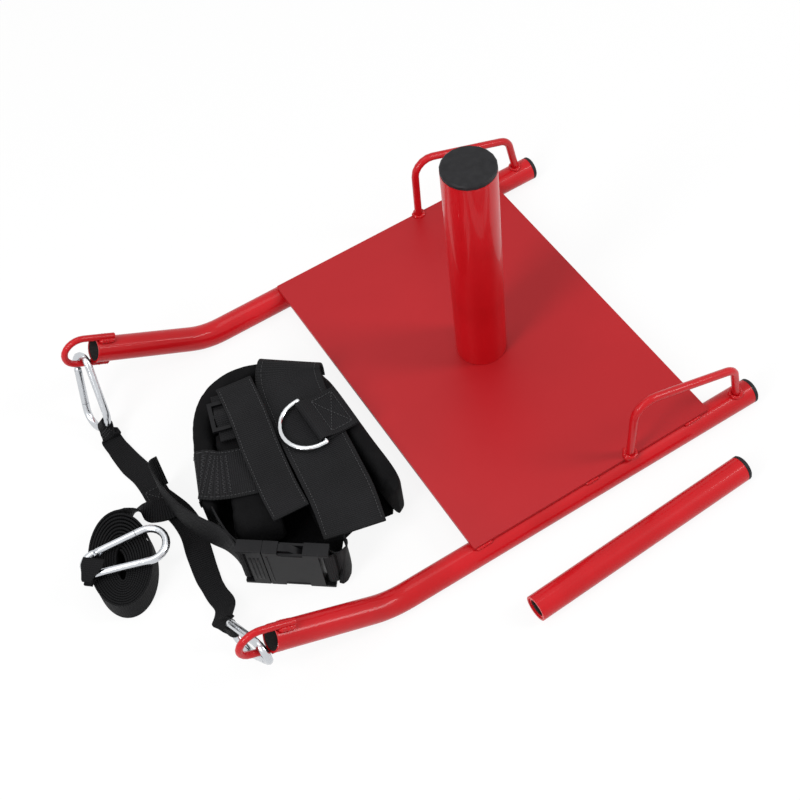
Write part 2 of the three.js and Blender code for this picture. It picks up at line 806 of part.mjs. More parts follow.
// The lead: flat at the junction, then on edge and wound up
const rollAxis = v(Math.cos(rollHeading), Math.sin(rollHeading), 0);
const rollSide = v(Math.sin(rollHeading), -Math.cos(rollHeading), 0);
{
  const height = seatGap + strapWidth / 2;
  const windings = [];
  for (let k = 0; k <= rollTurns * rollStepsPerTurn; k++) {
    const turns = k / rollStepsPerTurn;
    const angle = Math.PI - turns * 2 * Math.PI;
    const along = (rollHalfLength - rollPitchAlong * turns) * Math.cos(angle) + rollDriftPerTurn * turns;
    const across = (rollHalfWidth - rollPitchAcross * turns) * Math.sin(angle);
    windings.push(
      fromFront(rollPlace).addScaledVector(rollAxis, along).addScaledVector(rollSide, across).setZ(height),
    );
  }
  let least = Infinity;
  for (let i = 0; i + rollStepsPerTurn / 2 < windings.length; i++) {
    for (let j = i + rollStepsPerTurn / 2; j + 1 < windings.length; j++) {
      const nearest = new THREE.Line3(windings[j], windings[j + 1]).closestPointToPoint(
        windings[i],
        true,
        new THREE.Vector3(),
      );
      least = Math.min(least, nearest.distanceTo(windings[i]) - strapThickness);
    }
  }
  console.log(`roll: least gap between turns ${least.toFixed(2)} mm`);
  const rows = windings.map((point, i) => {
    const next = windings[Math.min(i + 1, windings.length - 1)];
    const last = windings[Math.max(i - 1, 0)];
    return row(point, next.clone().sub(last).normalize().cross(UP));
  });
  const overStack = floorPly + 2 * plyPitch;
  const start = fromFront(rollPlace).addScaledVector(rollAxis, -rollHalfLength).setZ(height);
  const lead = leadStations.map(([x, y, lift, upright]) =>
    row(station(x, y, overStack + lift), tipped(rows[0].face, upright)),
  );
  lead.push(row(start.addScaledVector(rollSide, -rollShownTurn), rows[0].face), rows[0]);
  webbing(sled, "strap_lead", strip([...smoothed(lead, 4), ...rows.slice(1)], strapWidth, strapThickness));
}

// The third hook lies on the roll, a strap end looped through it and folded back over it
{
  const onRoll = 3 * seatGap + strapWidth + loopReach + strapThickness / 2;
  const place = fromFront(leadHookPlace).setZ(onRoll);
  const gateSide = UP.clone().cross(leadHookHeading).normalize();
  addHook(sled, "hook_lead", place, leadHookHeading, gateSide);
  const leave = leadHookHeading.clone().negate().normalize().applyAxisAngle(UP, leadLoopLeaveAngle);
  const rod = place.clone().addScaledVector(leave, hookSmallRadius);
  const loop = strapLoop(rod, leave, UP, leadLoopRun, leadLoopNarrowing);
  const last = loop[loop.length - 1];
  const patchLevel = place.z + loopReach + plyPitch;
  const foldRadius = (patchLevel - last.at.z) / 2;
  const foldCentre = last.at.clone().setZ(patchLevel - foldRadius);
  const fold = arcStations(v(0, 0, 0), UP.clone().negate(), leave.clone().cross(UP), -Math.PI, 6).slice(1);
  for (const out of fold) {
    loop.push(row(foldCentre.clone().addScaledVector(out, foldRadius), out.clone().negate(), -leadLoopNarrowing));
  }
  const back = foldCentre.clone().setZ(patchLevel);
  const down = UP.clone().negate();
  for (const share of [1 / 3, 2 / 3, 1]) {
    const spread = Math.min(1, patchSpreadShare * share);
    const narrow = THREE.MathUtils.lerp(leadLoopNarrowing, leadPatchNarrowing, spread);
    loop.push(row(back.clone().addScaledVector(leave, -leadPatchRun * share), down, -narrow));
  }
  webbing(sled, "lead_loop", strip(loop, strapWidth, strapThickness));
}

// Pads and bands of the harness
const chestLevel = waistPadHeight + 2 * seatGap + webThickness / 2;
const facing = (points) =>
  points.map((point, i) => {
    const next = points[Math.min(i + 1, points.length - 1)];
    const last = points[Math.max(i - 1, 0)];
    return row(point, next.clone().sub(last).normalize().cross(UP));
  });
const crowned = (rows, taper) =>
  rows.map((r, i) => {
    const inner = Math.min(1, Math.min(i, rows.length - 1 - i) / padEndRows);
    const drawn = 1 - Math.sqrt(1 - (1 - inner) ** 2);
    return row(r.at, r.face, -padDrawIn * drawn, -taper * drawn);
  });
const spaced = (route, perSpan) =>
  new THREE.CatmullRomCurve3(route, false, "centripetal").getPoints((route.length - 1) * perSpan);
{
  const height = seatGap + waistPadHeight / 2;
  const middle = waistPadStations.map(([x, y]) => station(x, y, height));
  const shape = crowned(facing(spaced(middle, 2)), waistPadThickness / 2);
  padding(sled, "waist_pad", strip(shape, waistPadHeight, waistPadThickness, waistPadEdge));
}

// A pad folded back over itself: the lower layer runs out to the fold, the upper one comes back
function foldedPad(name, stations, width) {
  const [start, fold] = stations.map(([x, y]) => station(x, y, 0));
  const low = seatGap + foldedPadThickness / 2;
  const direction = fold.clone().sub(start).normalize();
  const length = fold.distanceTo(start);
  const rows = [];
  for (let k = 0; k <= padRunSteps; k++) {
    const at = start.clone().addScaledVector(direction, (length * k) / padRunSteps).setZ(low);
    rows.push(row(at, UP.clone().negate()));
  }
  for (let k = 1; k < padFoldSteps; k++) {
    const angle = (Math.PI * k) / padFoldSteps;
    const out = direction.clone().multiplyScalar(Math.sin(angle)).addScaledVector(UP, -Math.cos(angle));
    const centre = fold.clone().setZ(low + foldedPadRadius);
    rows.push(row(centre.addScaledVector(out, foldedPadRadius), out));
  }
  for (let k = padRunSteps; k >= 0; k--) {
    const at = start.clone().addScaledVector(direction, (length * k) / padRunSteps);
    rows.push(row(at.setZ(low + 2 * foldedPadRadius), UP.clone()));
  }
  padding(sled, name, strip(crowned(rows, padTaper), width, foldedPadThickness, padEdge));
}
foldedPad("shoulder_pad_right", rightPadStations, rightPadWidth);
foldedPad("shoulder_pad_left", leftPadStations, leftPadWidth);

const levelRows = (stations, level) =>
  stations.map(([x, y, drop, wide = 0]) => row(station(x, y, level - drop), UP, wide));

const overBelt = beltWidth + 3 * seatGap + webThickness / 2;

// A band's end that hangs down over the waist pad's rounded outer edge, from its low end up
function overEdge(place, heading, drop, wide) {
  const out = heading.clone().normalize();
  const radius = waistPadEdge + seatGap + webThickness / 2 + foldPlay;
  const edge = fromFront(place).addScaledVector(out, waistPadThickness / 2 - waistPadEdge);
  edge.z = chestLevel + foldPlay / 2 - radius;
  const turn = (angle, fall) => {
    const face = out.clone().multiplyScalar(Math.sin(angle)).addScaledVector(UP, Math.cos(angle));
    return row(edge.clone().addScaledVector(face, radius).addScaledVector(UP, -fall), face, wide);
  };
  return [turn(Math.PI / 2, drop), turn(Math.PI / 2, 0), turn(Math.PI / 4, 0), turn(0, 0)];
}

// The band across the top, with the ring's tab and the ring on it
{
  const down = overEdge(bandFoldPlace, bandFoldHeading, bandFoldDrop, bandFoldWidening);
  const onPad = levelRows(chestBandStations, chestLevel);
  const level = levelRows(chestBandEndStations, overBelt);
  const rows = smoothed([...down, ...onPad, ...level], 3);
  webbing(sled, "chest_band", strip(rows, chestBandWidth, webThickness));
}
const ringBar = fromFront(ringPlace).setZ(chestLevel + (3 * webThickness) / 2 + 2 * seatGap + ringRod / 2);
{
  const reach = ringRod / 2 + seatGap + webThickness / 2;
  const back = FORWARD.clone().negate();
  const loop = loopRows(ringBar, back, UP, webThickness, reach, ringTabRun);
  const low = ringBar.z - reach;
  const flat = (r, level, along) => row(r.at.clone().setZ(level).setX(ringBar.x - along), r.face);
  const over = low + webThickness + seatGap;
  const rows = loop.slice(2, -2);
  rows.unshift(flat(loop[0], low, ringTabRun), flat(loop[1], low, reach));
  rows.push(flat(loop[0], over, 4 * reach), flat(loop[0], over, ringTabRun));
  rows[rows.length - 2].face = UP.clone();
  rows[rows.length - 1].face = UP.clone();
  webbing(sled, "ring_tab", strip(rows, ringTabWidth, webThickness));
}
{
  const rod = roundShape(ringRod / 2, 10);
  const straight = placed(bar(ringRod / 2, 2 * ringRadius, 10).rotateX(Math.PI / 2), 0, ringRadius, 0);
  const arc = arcStations(v(ringSide, 0, 0), v(0, -ringRadius, 0), UP, Math.PI, 16);
  const bow = sweep(rod, new Route([v(0, -ringRadius, 0), ...arc, v(0, ringRadius, 0)]));
  const corner = new THREE.SphereGeometry(ringRod / 2, 10, 8);
  const near = placed(corner, 0, ringRadius, 0);
  const far = placed(corner, 0, -ringRadius, 0);
  const ring = metal(sled, "d_ring", join(straight, bow, near, far));
  ring.position.copy(ringBar);
  ring.rotation.y = ringTilt;
}

// The narrower band beside it, the slider with its strap, and the sewn tab of the left pad
{
  const level = fromFront(sliderPlace).setZ(
    waistPadHeight + 2 * seatGap + sliderWave + webThickness / 2 + seatGap,
  );
  const across = v(Math.cos(sliderYaw), Math.sin(sliderYaw), 0);
  const halfLength = sliderLength / 2;
  const halfWidth = sliderWidth / 2;
  const halfThick = sliderThickness / 2;
  const frame = block(-halfWidth, halfWidth, -halfLength, halfLength, -halfThick, halfThick);
  const openHalf = halfLength - sliderBar;
  const cutHalf = halfThick + cutOverrun;
  const inner = sliderBar / 2;
  const outer = halfWidth - sliderBar;
  const slider = moulding(
    sled,
    "belt_slider",
    cut(
      frame,
      block(inner, outer, -openHalf, openHalf, -cutHalf, cutHalf),
      block(-outer, -inner, -openHalf, openHalf, -cutHalf, cutHalf),
    ),
  );
  slider.position.copy(level);
  slider.rotation.z = sliderYaw;
  const stations = [
    [-sliderStrapRun, -sliderWave],
    [-outer - seatGap, -sliderWave],
    [-inner - seatGap, sliderWave],
    [inner + seatGap, sliderWave],
    [outer + seatGap, -sliderWave],
    [sliderStrapRun, -sliderWave],
  ];
  const rows = stations.map(([u, z]) =>
    row(level.clone().addScaledVector(across, u).addScaledVector(UP, z), UP),
  );
  webbing(sled, "slider_strap", strip(rows, sliderStrapWidth, webThickness));

  const overSlider = level.z + sliderWave + webThickness + seatGap + webThickness / 2;
  const band = smoothed(
    [...levelRows(crossBandStations, overSlider), ...levelRows(crossBandEndStations, chestLevel)],
    3,
  );
  webbing(sled, "cross_band", strip(band, crossBandWidth, webThickness));

  const down = overEdge(tabFoldPlace, tabFoldHeading, tabFoldDrop, 0);
  const tab = smoothed([...down, ...levelRows(sideTabStations, chestLevel)], 2);
  webbing(sled, "side_tab", strip(tab, sideTabWidth, webThickness));
}

// Side-release buckle in its own frame: +X from its left end to its right, +Y to the pads, +Z up
{
  const buckle = new THREE.Group();
  const x = buckleHeading.clone().normalize();
  const y = UP.clone().cross(x);
  const length = maleLength + seatGap + femaleLength;
  buckle.setRotationFromMatrix(new THREE.Matrix4().makeBasis(x, y, UP));
  buckle.position.copy(fromFront(bucklePlace)).addScaledVector(x, -length / 2);
  buckle.position.z = seatGap + buckleWidth / 2;
  sled.add(buckle);
  const halfWidth = buckleWidth / 2;
  const halfThick = buckleThickness / 2;
  const bevelled = (x0, x1) => {
    const shape = new THREE.Shape();
    const b = buckleBevel;
    shape.moveTo(x0 + b, -halfWidth + b);
    shape.lineTo(x1 - b, -halfWidth + b);
    shape.lineTo(x1 - b, halfWidth - b);
    shape.lineTo(x0 + b, halfWidth - b);
    return new THREE.ExtrudeGeometry(shape, {
      depth: buckleThickness - 2 * b,
      bevelEnabled: true,
      bevelThickness: b,
      bevelSize: b,
      bevelSegments: 2,
    })
      .rotateX(Math.PI / 2)
      .translate(0, halfThick - b, 0);
  };
  const farThick = halfThick + cutOverrun;
  const cheek = halfWidth - cheekWidth;
  const pole = (at) => placed(bar(barRadius, 2 * cheek + cutOverrun, 12), at, 0, -cheek - cutOverrun / 2);

  const slot = block(-cutOverrun, barWindow, -farThick, farThick, -cheek, cheek);
  const tipHalf = prongThickness / 2;
  const guideHalf = guideWidth / 2;
  const guide = block(
    maleLength - cutOverrun,
    maleLength + guideLength,
    -tipHalf,
    tipHalf,
    -guideHalf,
    guideHalf,
  );
  moulding(buckle, "buckle_male", join(cut(bevelled(0, maleLength), slot), pole(barInset), guide));

  const mouth = maleLength + seatGap;
  const right = mouth + femaleLength;
  const cavityEnd = right - barWindow - buckleWall;
  const cavityY = halfThick - buckleWall;
  const cavityZ = halfWidth - buckleWall;
  const cavity = block(mouth - cutOverrun, cavityEnd, -cavityY, cavityY, -cavityZ, cavityZ);
  const windowStart = mouth + windowFromMouth;
  const farWidth = halfWidth + cutOverrun;
  const windowY = tipHalf + prongPlay;
  const windowEnd = windowStart + windowLength;
  const windows = block(windowStart, windowEnd, -windowY, windowY, -farWidth, farWidth);
  const notchFloor = halfWidth - notchDepth;
  const notchUp = block(windowStart, windowEnd, -farThick, farThick, notchFloor, farWidth);
  const notchDown = block(windowStart, windowEnd, -farThick, farThick, -farWidth, -notchFloor);
  const rightSlot = block(right - barWindow, right + cutOverrun, -farThick, farThick, -cheek, cheek);
  const shell = cut(bevelled(mouth, right), cavity, windows, notchUp, notchDown, rightSlot);
  moulding(buckle, "buckle_female", join(shell, pole(right - barInset)));

  for (const [place, sign] of [["upper", 1], ["lower", -1]]) {
    const root = maleLength + prongPlay;
    const headStart = windowStart + prongPlay;
    const crest = halfWidth - seatGap;
    const underside = prongArmPlace - prongArmWidth;
    const outline = [
      [root, underside],
      [root + prongReach, underside],
      [root + prongReach, prongArmPlace],
      [headStart + prongHeadLength / 2, crest],
      [headStart, crest],
      [headStart, prongArmPlace],
      [root, prongArmPlace],
    ];
    const shape = new THREE.Shape(outline.map(([px, pz]) => new THREE.Vector2(px, sign * pz)));
    const prong = new THREE.ExtrudeGeometry(shape, { depth: prongThickness, bevelEnabled: false });
    moulding(buckle, `buckle_prong_${place}`, prong.rotateX(Math.PI / 2).translate(0, tipHalf, 0));
  }

  // Belt webbing round the bars at both ends
  const reach = barRadius + seatGap + webThickness / 2;
  const leftBar = buckle.position.clone().addScaledVector(x, barInset);
  const rightBar = buckle.position.clone().addScaledVector(x, right - barInset);
  const leave = x.clone().negate().applyAxisAngle(UP, -beltLeaveAngle);
  const inward = y.clone().applyAxisAngle(UP, -beltLeaveAngle);
  const leftLoop = loopRows(leftBar, leave, inward, webThickness, reach, leftRunShare * reach);
  const level = leftBar.z;
  const tailRoute = [leftLoop[0].at, ...beltTailStations.map(([px, py]) => station(px, py, level))];
  const lastLeft = leftLoop[leftLoop.length - 1].at;
  const padRoute = [lastLeft, ...beltPadStations.map(([px, py]) => station(px, py, level))];
  const tailPoints = spaced(tailRoute, 3).reverse();
  const padPoints = spaced(padRoute, 3);
  const leftPoints = [...tailPoints, ...leftLoop.slice(1, -1).map((r) => r.at), ...padPoints];
  webbing(sled, "belt_left", strip(facing(leftPoints), beltWidth, webThickness));

  const rightLoop = loopRows(rightBar, x, y, webThickness, reach, rightRunShare * reach);
  const low = seatGap + beltWidth / 2;
  const rightLevels = [level, low + beltSettle, low + beltSettle / 2, low];
  const lastRight = rightLoop[rightLoop.length - 1].at;
  const outRoute = [lastRight, ...beltRightStations.map(([px, py], i) => station(px, py, rightLevels[i]))];
  const rightPoints = [...rightLoop.slice(1, -1).map((r) => r.at), ...spaced(outRoute, 3)];
  webbing(sled, "belt_right", strip(facing(rightPoints), beltWidth, webThickness));
}

export default sled;
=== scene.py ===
# %% [markdown]
# # A drag sled, dressed for its picture
#
# The sled is pulled along the ground by a runner. Its hard parts come from CAD, in metres, with the origin
# on the floor below the main post. This file adds what a camera sees: paint, plating, weld beads, webbing,
# padding and stitches. Each step says what the real thing is and why it is made the way it is.

import itertools
import math

import bmesh
import bpy
from mathutils import Euler, Matrix, Vector, noise
from mathutils.bvhtree import BVHTree


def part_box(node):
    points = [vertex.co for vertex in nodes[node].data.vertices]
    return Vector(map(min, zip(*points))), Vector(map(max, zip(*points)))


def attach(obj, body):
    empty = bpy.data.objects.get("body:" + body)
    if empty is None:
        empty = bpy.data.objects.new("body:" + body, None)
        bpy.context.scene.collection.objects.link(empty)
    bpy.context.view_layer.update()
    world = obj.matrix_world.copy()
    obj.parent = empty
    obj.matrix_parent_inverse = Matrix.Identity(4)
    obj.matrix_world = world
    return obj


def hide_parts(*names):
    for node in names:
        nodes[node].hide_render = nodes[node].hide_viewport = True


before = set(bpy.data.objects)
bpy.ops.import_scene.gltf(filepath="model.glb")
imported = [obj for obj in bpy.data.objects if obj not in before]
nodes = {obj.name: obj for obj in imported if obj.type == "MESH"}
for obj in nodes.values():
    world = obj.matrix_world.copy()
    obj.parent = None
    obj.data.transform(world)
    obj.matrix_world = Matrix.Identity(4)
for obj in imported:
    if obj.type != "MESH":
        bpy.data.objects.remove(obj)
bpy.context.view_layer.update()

# %% [markdown]
# The camera stands to the sled's front left and looks steeply down. Its place was worked out from the
# corners of the deck and the ends of the tubes, so straight edges fall where the photograph has them.

# %% Camera
camera_data = bpy.data.cameras.new("camera")
camera_data.sensor_fit = "HORIZONTAL"
camera_data.sensor_width = 36
camera_data.lens = 60.614
camera_data.clip_end = 20
camera = bpy.data.objects.new("camera", camera_data)
camera.location = (0.40585, 0.69910, 1.09022)
camera.rotation_euler = Euler((math.radians(35.0166), math.radians(5.3673), math.radians(148.5147)))
bpy.context.scene.collection.objects.link(camera)
bpy.context.scene.camera = camera
print("camera", tuple(round(x, 4) for x in camera.location), camera_data.lens, "mm")

# %% [markdown]
# Small tools for materials. Colours are written as a paint maker would, in sRGB hex, and turned to the
# linear numbers that a renderer adds up. `put` adds one node with its settings and its links.


# %% Material helpers
def linear(code):
    values = [int(code[i : i + 2], 16) / 255 for i in (0, 2, 4)]
    return [x / 12.92 if x <= 0.04045 else ((x + 0.055) / 1.055) ** 2.4 for x in values] + [1.0]


def put(tree, kind, settings=None, links=None):
    node = tree.nodes.new(kind)
    for key, value in (settings or {}).items():
        if isinstance(key, int) or (key in node.inputs and not hasattr(node, key)):
            node.inputs[key].default_value = value
        else:
            setattr(node, key, value)
    for key, source in (links or {}).items():
        tree.links.new(source, node.inputs[key])
    return node


def new_material(name, colour, roughness, metallic=0.0, **sockets):
    material = bpy.data.materials.new(name)
    material.use_nodes = True
    material.diffuse_color = linear(colour)
    tree = material.node_tree
    shader = tree.nodes["Principled BSDF"]
    shader.inputs["Base Color"].default_value = linear(colour)
    shader.inputs["Roughness"].default_value = roughness
    shader.inputs["Metallic"].default_value = metallic
    for key, value in sockets.items():
        shader.inputs[key.replace("_", " ")].default_value = value
    return material, tree, shader


def bump(tree, shader, height, strength, distance):
    node = put(tree, "ShaderNodeBump", {"Strength": strength, "Distance": distance}, {"Height": height})
    tree.links.new(node.outputs["Normal"], shader.inputs["Normal"])


def tint(tree, shader, factor, dark, light, low=0.0, high=1.0):
    ramp = put(tree, "ShaderNodeValToRGB", links={"Fac": factor})
    ramp.color_ramp.elements[0].color = linear(dark)
    ramp.color_ramp.elements[1].color = linear(light)
    ramp.color_ramp.elements[0].position = low
    ramp.color_ramp.elements[1].position = high
    tree.links.new(ramp.outputs["Color"], shader.inputs["Base Color"])


def grain(tree, scale, detail):
    where = put(tree, "ShaderNodeTexCoord")
    settings = {"Scale": scale, "Detail": detail}
    return put(tree, "ShaderNodeTexNoise", settings, {"Vector": where.outputs["Object"]}).outputs["Fac"]


# %% [markdown]
# Powder coat is sprayed dry and melted in an oven, so it levels into a thick skin with a faint orange peel.
# A clear coat over a slightly rough base gives the long soft streaks on the tubes. The peel is a noise about
# two millimetres across, far too shallow to see except where a lamp is reflected.

# %% Red powder coat
gloss_coat, tree, shader = new_material(
    "gloss_powder_coat", "BA0D15", 0.36, Specular_IOR_Level=0.16, Coat_Weight=0.24, Coat_Roughness=0.06
)
tint(tree, shader, grain(tree, 14, 3), "B00B12", "C2101A", 0.3, 0.7)
bump(tree, shader, grain(tree, 480, 2), 0.012, 0.0004)
print("material", gloss_coat.name)

# %% [markdown]
# The deck is a broad sheet. The same coat looks flatter there, because a wide plate mirrors the whole pale
# room, and fine dust nibs roughen it.

# %% Satin deck coat
satin_coat, tree, shader = new_material(
    "satin_powder_coat", "A5141B", 0.42, Specular_IOR_Level=0.26, Coat_Weight=0.08, Coat_Roughness=0.3
)
tint(tree, shader, grain(tree, 7, 4), "A11118", "AA161D", 0.3, 0.7)
bump(tree, shader, grain(tree, 900, 2), 0.12, 0.0003)
print("material", satin_coat.name)

# %% [markdown]
# The plugs in the tube ends are moulded polyethylene. The mould was spark-eroded, which leaves a fine even
# grain that kills the shine. Buckle and slider are nylon, harder and glossier, with less grain.

# %% Moulded plastics
plug_plastic, tree, shader = new_material("moulded_polyethylene", "1E1E20", 0.5, Specular_IOR_Level=0.16)
tint(tree, shader, grain(tree, 160, 3), "19191B", "222224", 0.3, 0.7)
bump(tree, shader, grain(tree, 1400, 3), 0.35, 0.0003)

nylon, tree, shader = new_material("moulded_nylon", "0D0D0F", 0.46, Specular_IOR_Level=0.17)
tint(tree, shader, grain(tree, 90, 3), "0B0B0D", "111113", 0.3, 0.7)
bump(tree, shader, grain(tree, 1800, 2), 0.15, 0.0002)
print("materials", plug_plastic.name, nylon.name)

# %% [markdown]
# The snap hooks are drawn steel rod, bent cold and zinc plated. Bending leaves faint stretch marks and the
# plating is a little cloudy. The harness ring is nickel and chrome over polished rod, so it is a cleaner
# mirror. Both are metals: full metallic and the default IOR, and mostly their roughness tells them apart.

# %% Plated steel
zinc, tree, shader = new_material("bright_zinc_plate", "C9CCD0", 0.24, 1.0)
marks = grain(tree, 260, 4)
dull = put(
    tree,
    "ShaderNodeMapRange",
    {"From Min": 0.3, "From Max": 0.7, "To Min": 0.14, "To Max": 0.32},
    {"Value": marks},
)
tree.links.new(dull.outputs["Result"], shader.inputs["Roughness"])
bump(tree, shader, marks, 0.12, 0.0003)

chrome, tree, shader = new_material("chrome_plate", "D8DADC", 0.08, 1.0)
bump(tree, shader, grain(tree, 120, 2), 0.03, 0.0004)
print("materials", zinc.name, chrome.name)

# %% [markdown]
# Paint doesn't reach far into an open tube. Past the mouth the wall is the mill's own oxide skin, dark and
# rough, which is why the open noses look black.

# %% Bare steel in the bores
mill_scale, tree, shader = new_material("mill_scale_steel", "161413", 0.7, 0.4)
tint(tree, shader, grain(tree, 220, 4), "0D0C0C", "221D1B", 0.3, 0.7)
bump(tree, shader, grain(tree, 700, 3), 0.3, 0.0003)
print("material", mill_scale.name)

# %% [markdown]
# Webbing is a flat rope: thick polyester warp ends run along it, and the weft that ties them shows as ribs
# across. Real ribs are 1.3 mm apart; here they are about 2 mm, as coarse as the picture needs. The
# strips carry UVs in millimetres, so sines of the two pitches draw the ribs and cords in the bump wherever
# the strap turns. The same rib height also paints the raised ribs and cords lighter than the hollows, as a
# painted highlight on their tops. A slow noise adds the places where it has been handled.


# %% Webbing
cord_pitch = 2.6
rib_skew, cord_share, wear = 0.7, 0.25, 2.4


def webbing_material(name, dark, light, roughness, rib_pitch):
    material, tree, shader = new_material(name, dark, roughness, Specular_IOR_Level=0.15)
    where = put(tree, "ShaderNodeUVMap", {"uv_map": "weave"})
    parts = put(tree, "ShaderNodeSeparateXYZ", links={"Vector": where.outputs["UV"]})
    cord_turns = put(
        tree,
        "ShaderNodeMath",
        {"operation": "MULTIPLY", 1: 2 * math.pi / cord_pitch},
        {0: parts.outputs["X"]},
    )
    cords = put(tree, "ShaderNodeMath", {"operation": "SINE"}, {0: cord_turns.outputs[0]})
    rib_turns = put(
        tree,
        "ShaderNodeMath",
        {"operation": "MULTIPLY", 1: 2 * math.pi / rib_pitch},
        {0: parts.outputs["Y"]},
    )
    shifted = put(
        tree,
        "ShaderNodeMath",
        {"operation": "MULTIPLY_ADD", 1: rib_skew},
        {0: cords.outputs[0], 2: rib_turns.outputs[0]},
    )
    ribs = put(tree, "ShaderNodeMath", {"operation": "SINE"}, {0: shifted.outputs[0]})
    height = put(
        tree,
        "ShaderNodeMath",
        {"operation": "MULTIPLY_ADD", 1: cord_share},
        {0: cords.outputs[0], 2: ribs.outputs[0]},
    )
    bump(tree, shader, height.outputs[0], 0.5, 0.0005)
    # Painted highlight: the rib height is added to the handled-wear noise, so raised ribs and cords are
    # painted lighter.
    wear_and_rib_highlight = put(
        tree,
        "ShaderNodeMath",
        {"operation": "MULTIPLY_ADD", 1: wear},
        {0: grain(tree, 24, 4), 2: height.outputs[0]},
    )
    shade = put(tree, "ShaderNodeMapRange", {"From Min": -0.2, "From Max": 3.2}, {"Value": wear_and_rib_highlight.outputs[0]})
    tint(tree, shader, shade.outputs["Result"], dark, light)
    return material


belt_web = webbing_material("woven_belt_webbing", "060607", "202022", 0.7, 2.0)
strap_web = webbing_material("woven_strap_webbing", "040405", "151517", 0.75, 2.2)
print("materials", belt_web.name, strap_web.name)

# %% [markdown]
# The pads are foam in a plain-weave nylon cover. Remeshed cloth has no UVs, so its weave is drawn in object
# space as a fine noise about a millimetre across, and a slow noise gives the rubbed and dusty places. Sewing
# thread is bonded polyester, a shade lighter than the web, which is why seams show on black cloth.

# %% Pad cover and thread
pad_cover, tree, shader = new_material("nylon_pad_cover", "070708", 0.8, Specular_IOR_Level=0.1)
tint(tree, shader, grain(tree, 40, 4), "040405", "0F0F10", 0.3, 0.75)
bump(tree, shader, grain(tree, 900, 3), 0.6, 0.0005)

thread, tree, shader = new_material("bonded_polyester_thread", "1D1D1F", 0.55)
tint(tree, shader, grain(tree, 300, 2), "161618", "2A2A2D", 0.3, 0.7)
bump(tree, shader, grain(tree, 2500, 1), 0.4, 0.0002)
print("materials", pad_cover.name, thread.name)

# %% [markdown]
# The hard parts keep their CAD shape and only get their finish. Their facets would show as flat bands, so a
# small node group welds the corners and shades every edge smooth where two faces meet at less than 40
# degrees, as a turned or bent surface would be. It changes how light falls, not where the surface is.


# %% Smooth shading for the hard parts
def smooth_group(limit_degrees):
    tree = bpy.data.node_groups.new("smooth_by_angle", "GeometryNodeTree")
    tree.interface.new_socket("Geometry", in_out="INPUT", socket_type="NodeSocketGeometry")
    tree.interface.new_socket("Geometry", in_out="OUTPUT", socket_type="NodeSocketGeometry")
    source = put(tree, "NodeGroupInput")
    bare = put(
        tree, "GeometryNodeRemoveAttribute", {"Name": "custom_normal"}, {"Geometry": source.outputs[0]}
    )
    welded = put(
        tree, "GeometryNodeMergeByDistance", {"Distance": 0.000005}, {"Geometry": bare.outputs[0]}
    )
    angle = put(tree, "GeometryNodeInputMeshEdgeAngle")
    gentle = put(
        tree,
        "FunctionNodeCompare",
        {"data_type": "FLOAT", "operation": "LESS_THAN", 1: math.radians(limit_degrees)},
        {0: angle.outputs["Unsigned Angle"]},
    )
    faces = put(
        tree, "GeometryNodeSetShadeSmooth", {"domain": "FACE", 2: True}, {0: welded.outputs[0]}
    )
    edges = put(
        tree, "GeometryNodeSetShadeSmooth", {"domain": "EDGE"}, {0: faces.outputs[0], 2: gentle.outputs[0]}
    )
    put(tree, "NodeGroupOutput", links={0: edges.outputs[0]})
    return tree


smoothing = smooth_group(40)


def shade_by_angle(piece):
    modifier = piece.modifiers.new("smooth", "NODES")
    modifier.node_group = smoothing


# %% Finishes of the hard parts
finish_of = {"deck_plate": satin_coat, "belt_slider": nylon, "d_ring": chrome}
for name in ("buckle_female", "buckle_male", "buckle_prong_upper", "buckle_prong_lower"):
    finish_of[name] = nylon
for side in ("left", "right"):
    finish_of[f"runner_{side}"] = gloss_coat
    finish_of[f"tow_eye_{side}"] = gloss_coat
    finish_of[f"handle_{side}"] = gloss_coat
    finish_of[f"runner_cap_{side}"] = plug_plastic
for name in ("main_post_tube", "main_post_bush", "post_stud", "spare_post_tube", "spare_post_bush"):
    finish_of[name] = gloss_coat
for name in ("main_post_cap", "spare_post_cap"):
    finish_of[name] = plug_plastic
for hook in ("hook_left", "hook_right", "hook_lead"):
    for part in ("frame", "gate", "pin"):
        finish_of[f"{hook}_{part}"] = zinc
for name, material in finish_of.items():
    piece = nodes[name]
    piece.data.materials.clear()
    piece.data.materials.append(material)
    shade_by_angle(piece)
    if material is nylon:
        weighted = piece.modifiers.new("flat_faces", "WEIGHTED_NORMAL")
        weighted.keep_sharp = True
print("finished", len(finish_of), "hard parts")

# %% [markdown]
# Every webbing strip exists in CAD as a bare band with square corners. Its cross-sections are read back from
# that band, ring by ring from one cut end to the other, so the woven strip lies where the CAD one does. A
# ring is kept as its middle, its full width and its full thickness.


# %% Cross-sections of a CAD strip
same_point = 0.000001


def ring_edges(corners):
    return all(
        any(edge.other_vert(a) is b for edge in a.link_edges)
        for a, b in zip(corners, corners[1:] + corners[:1])
    )


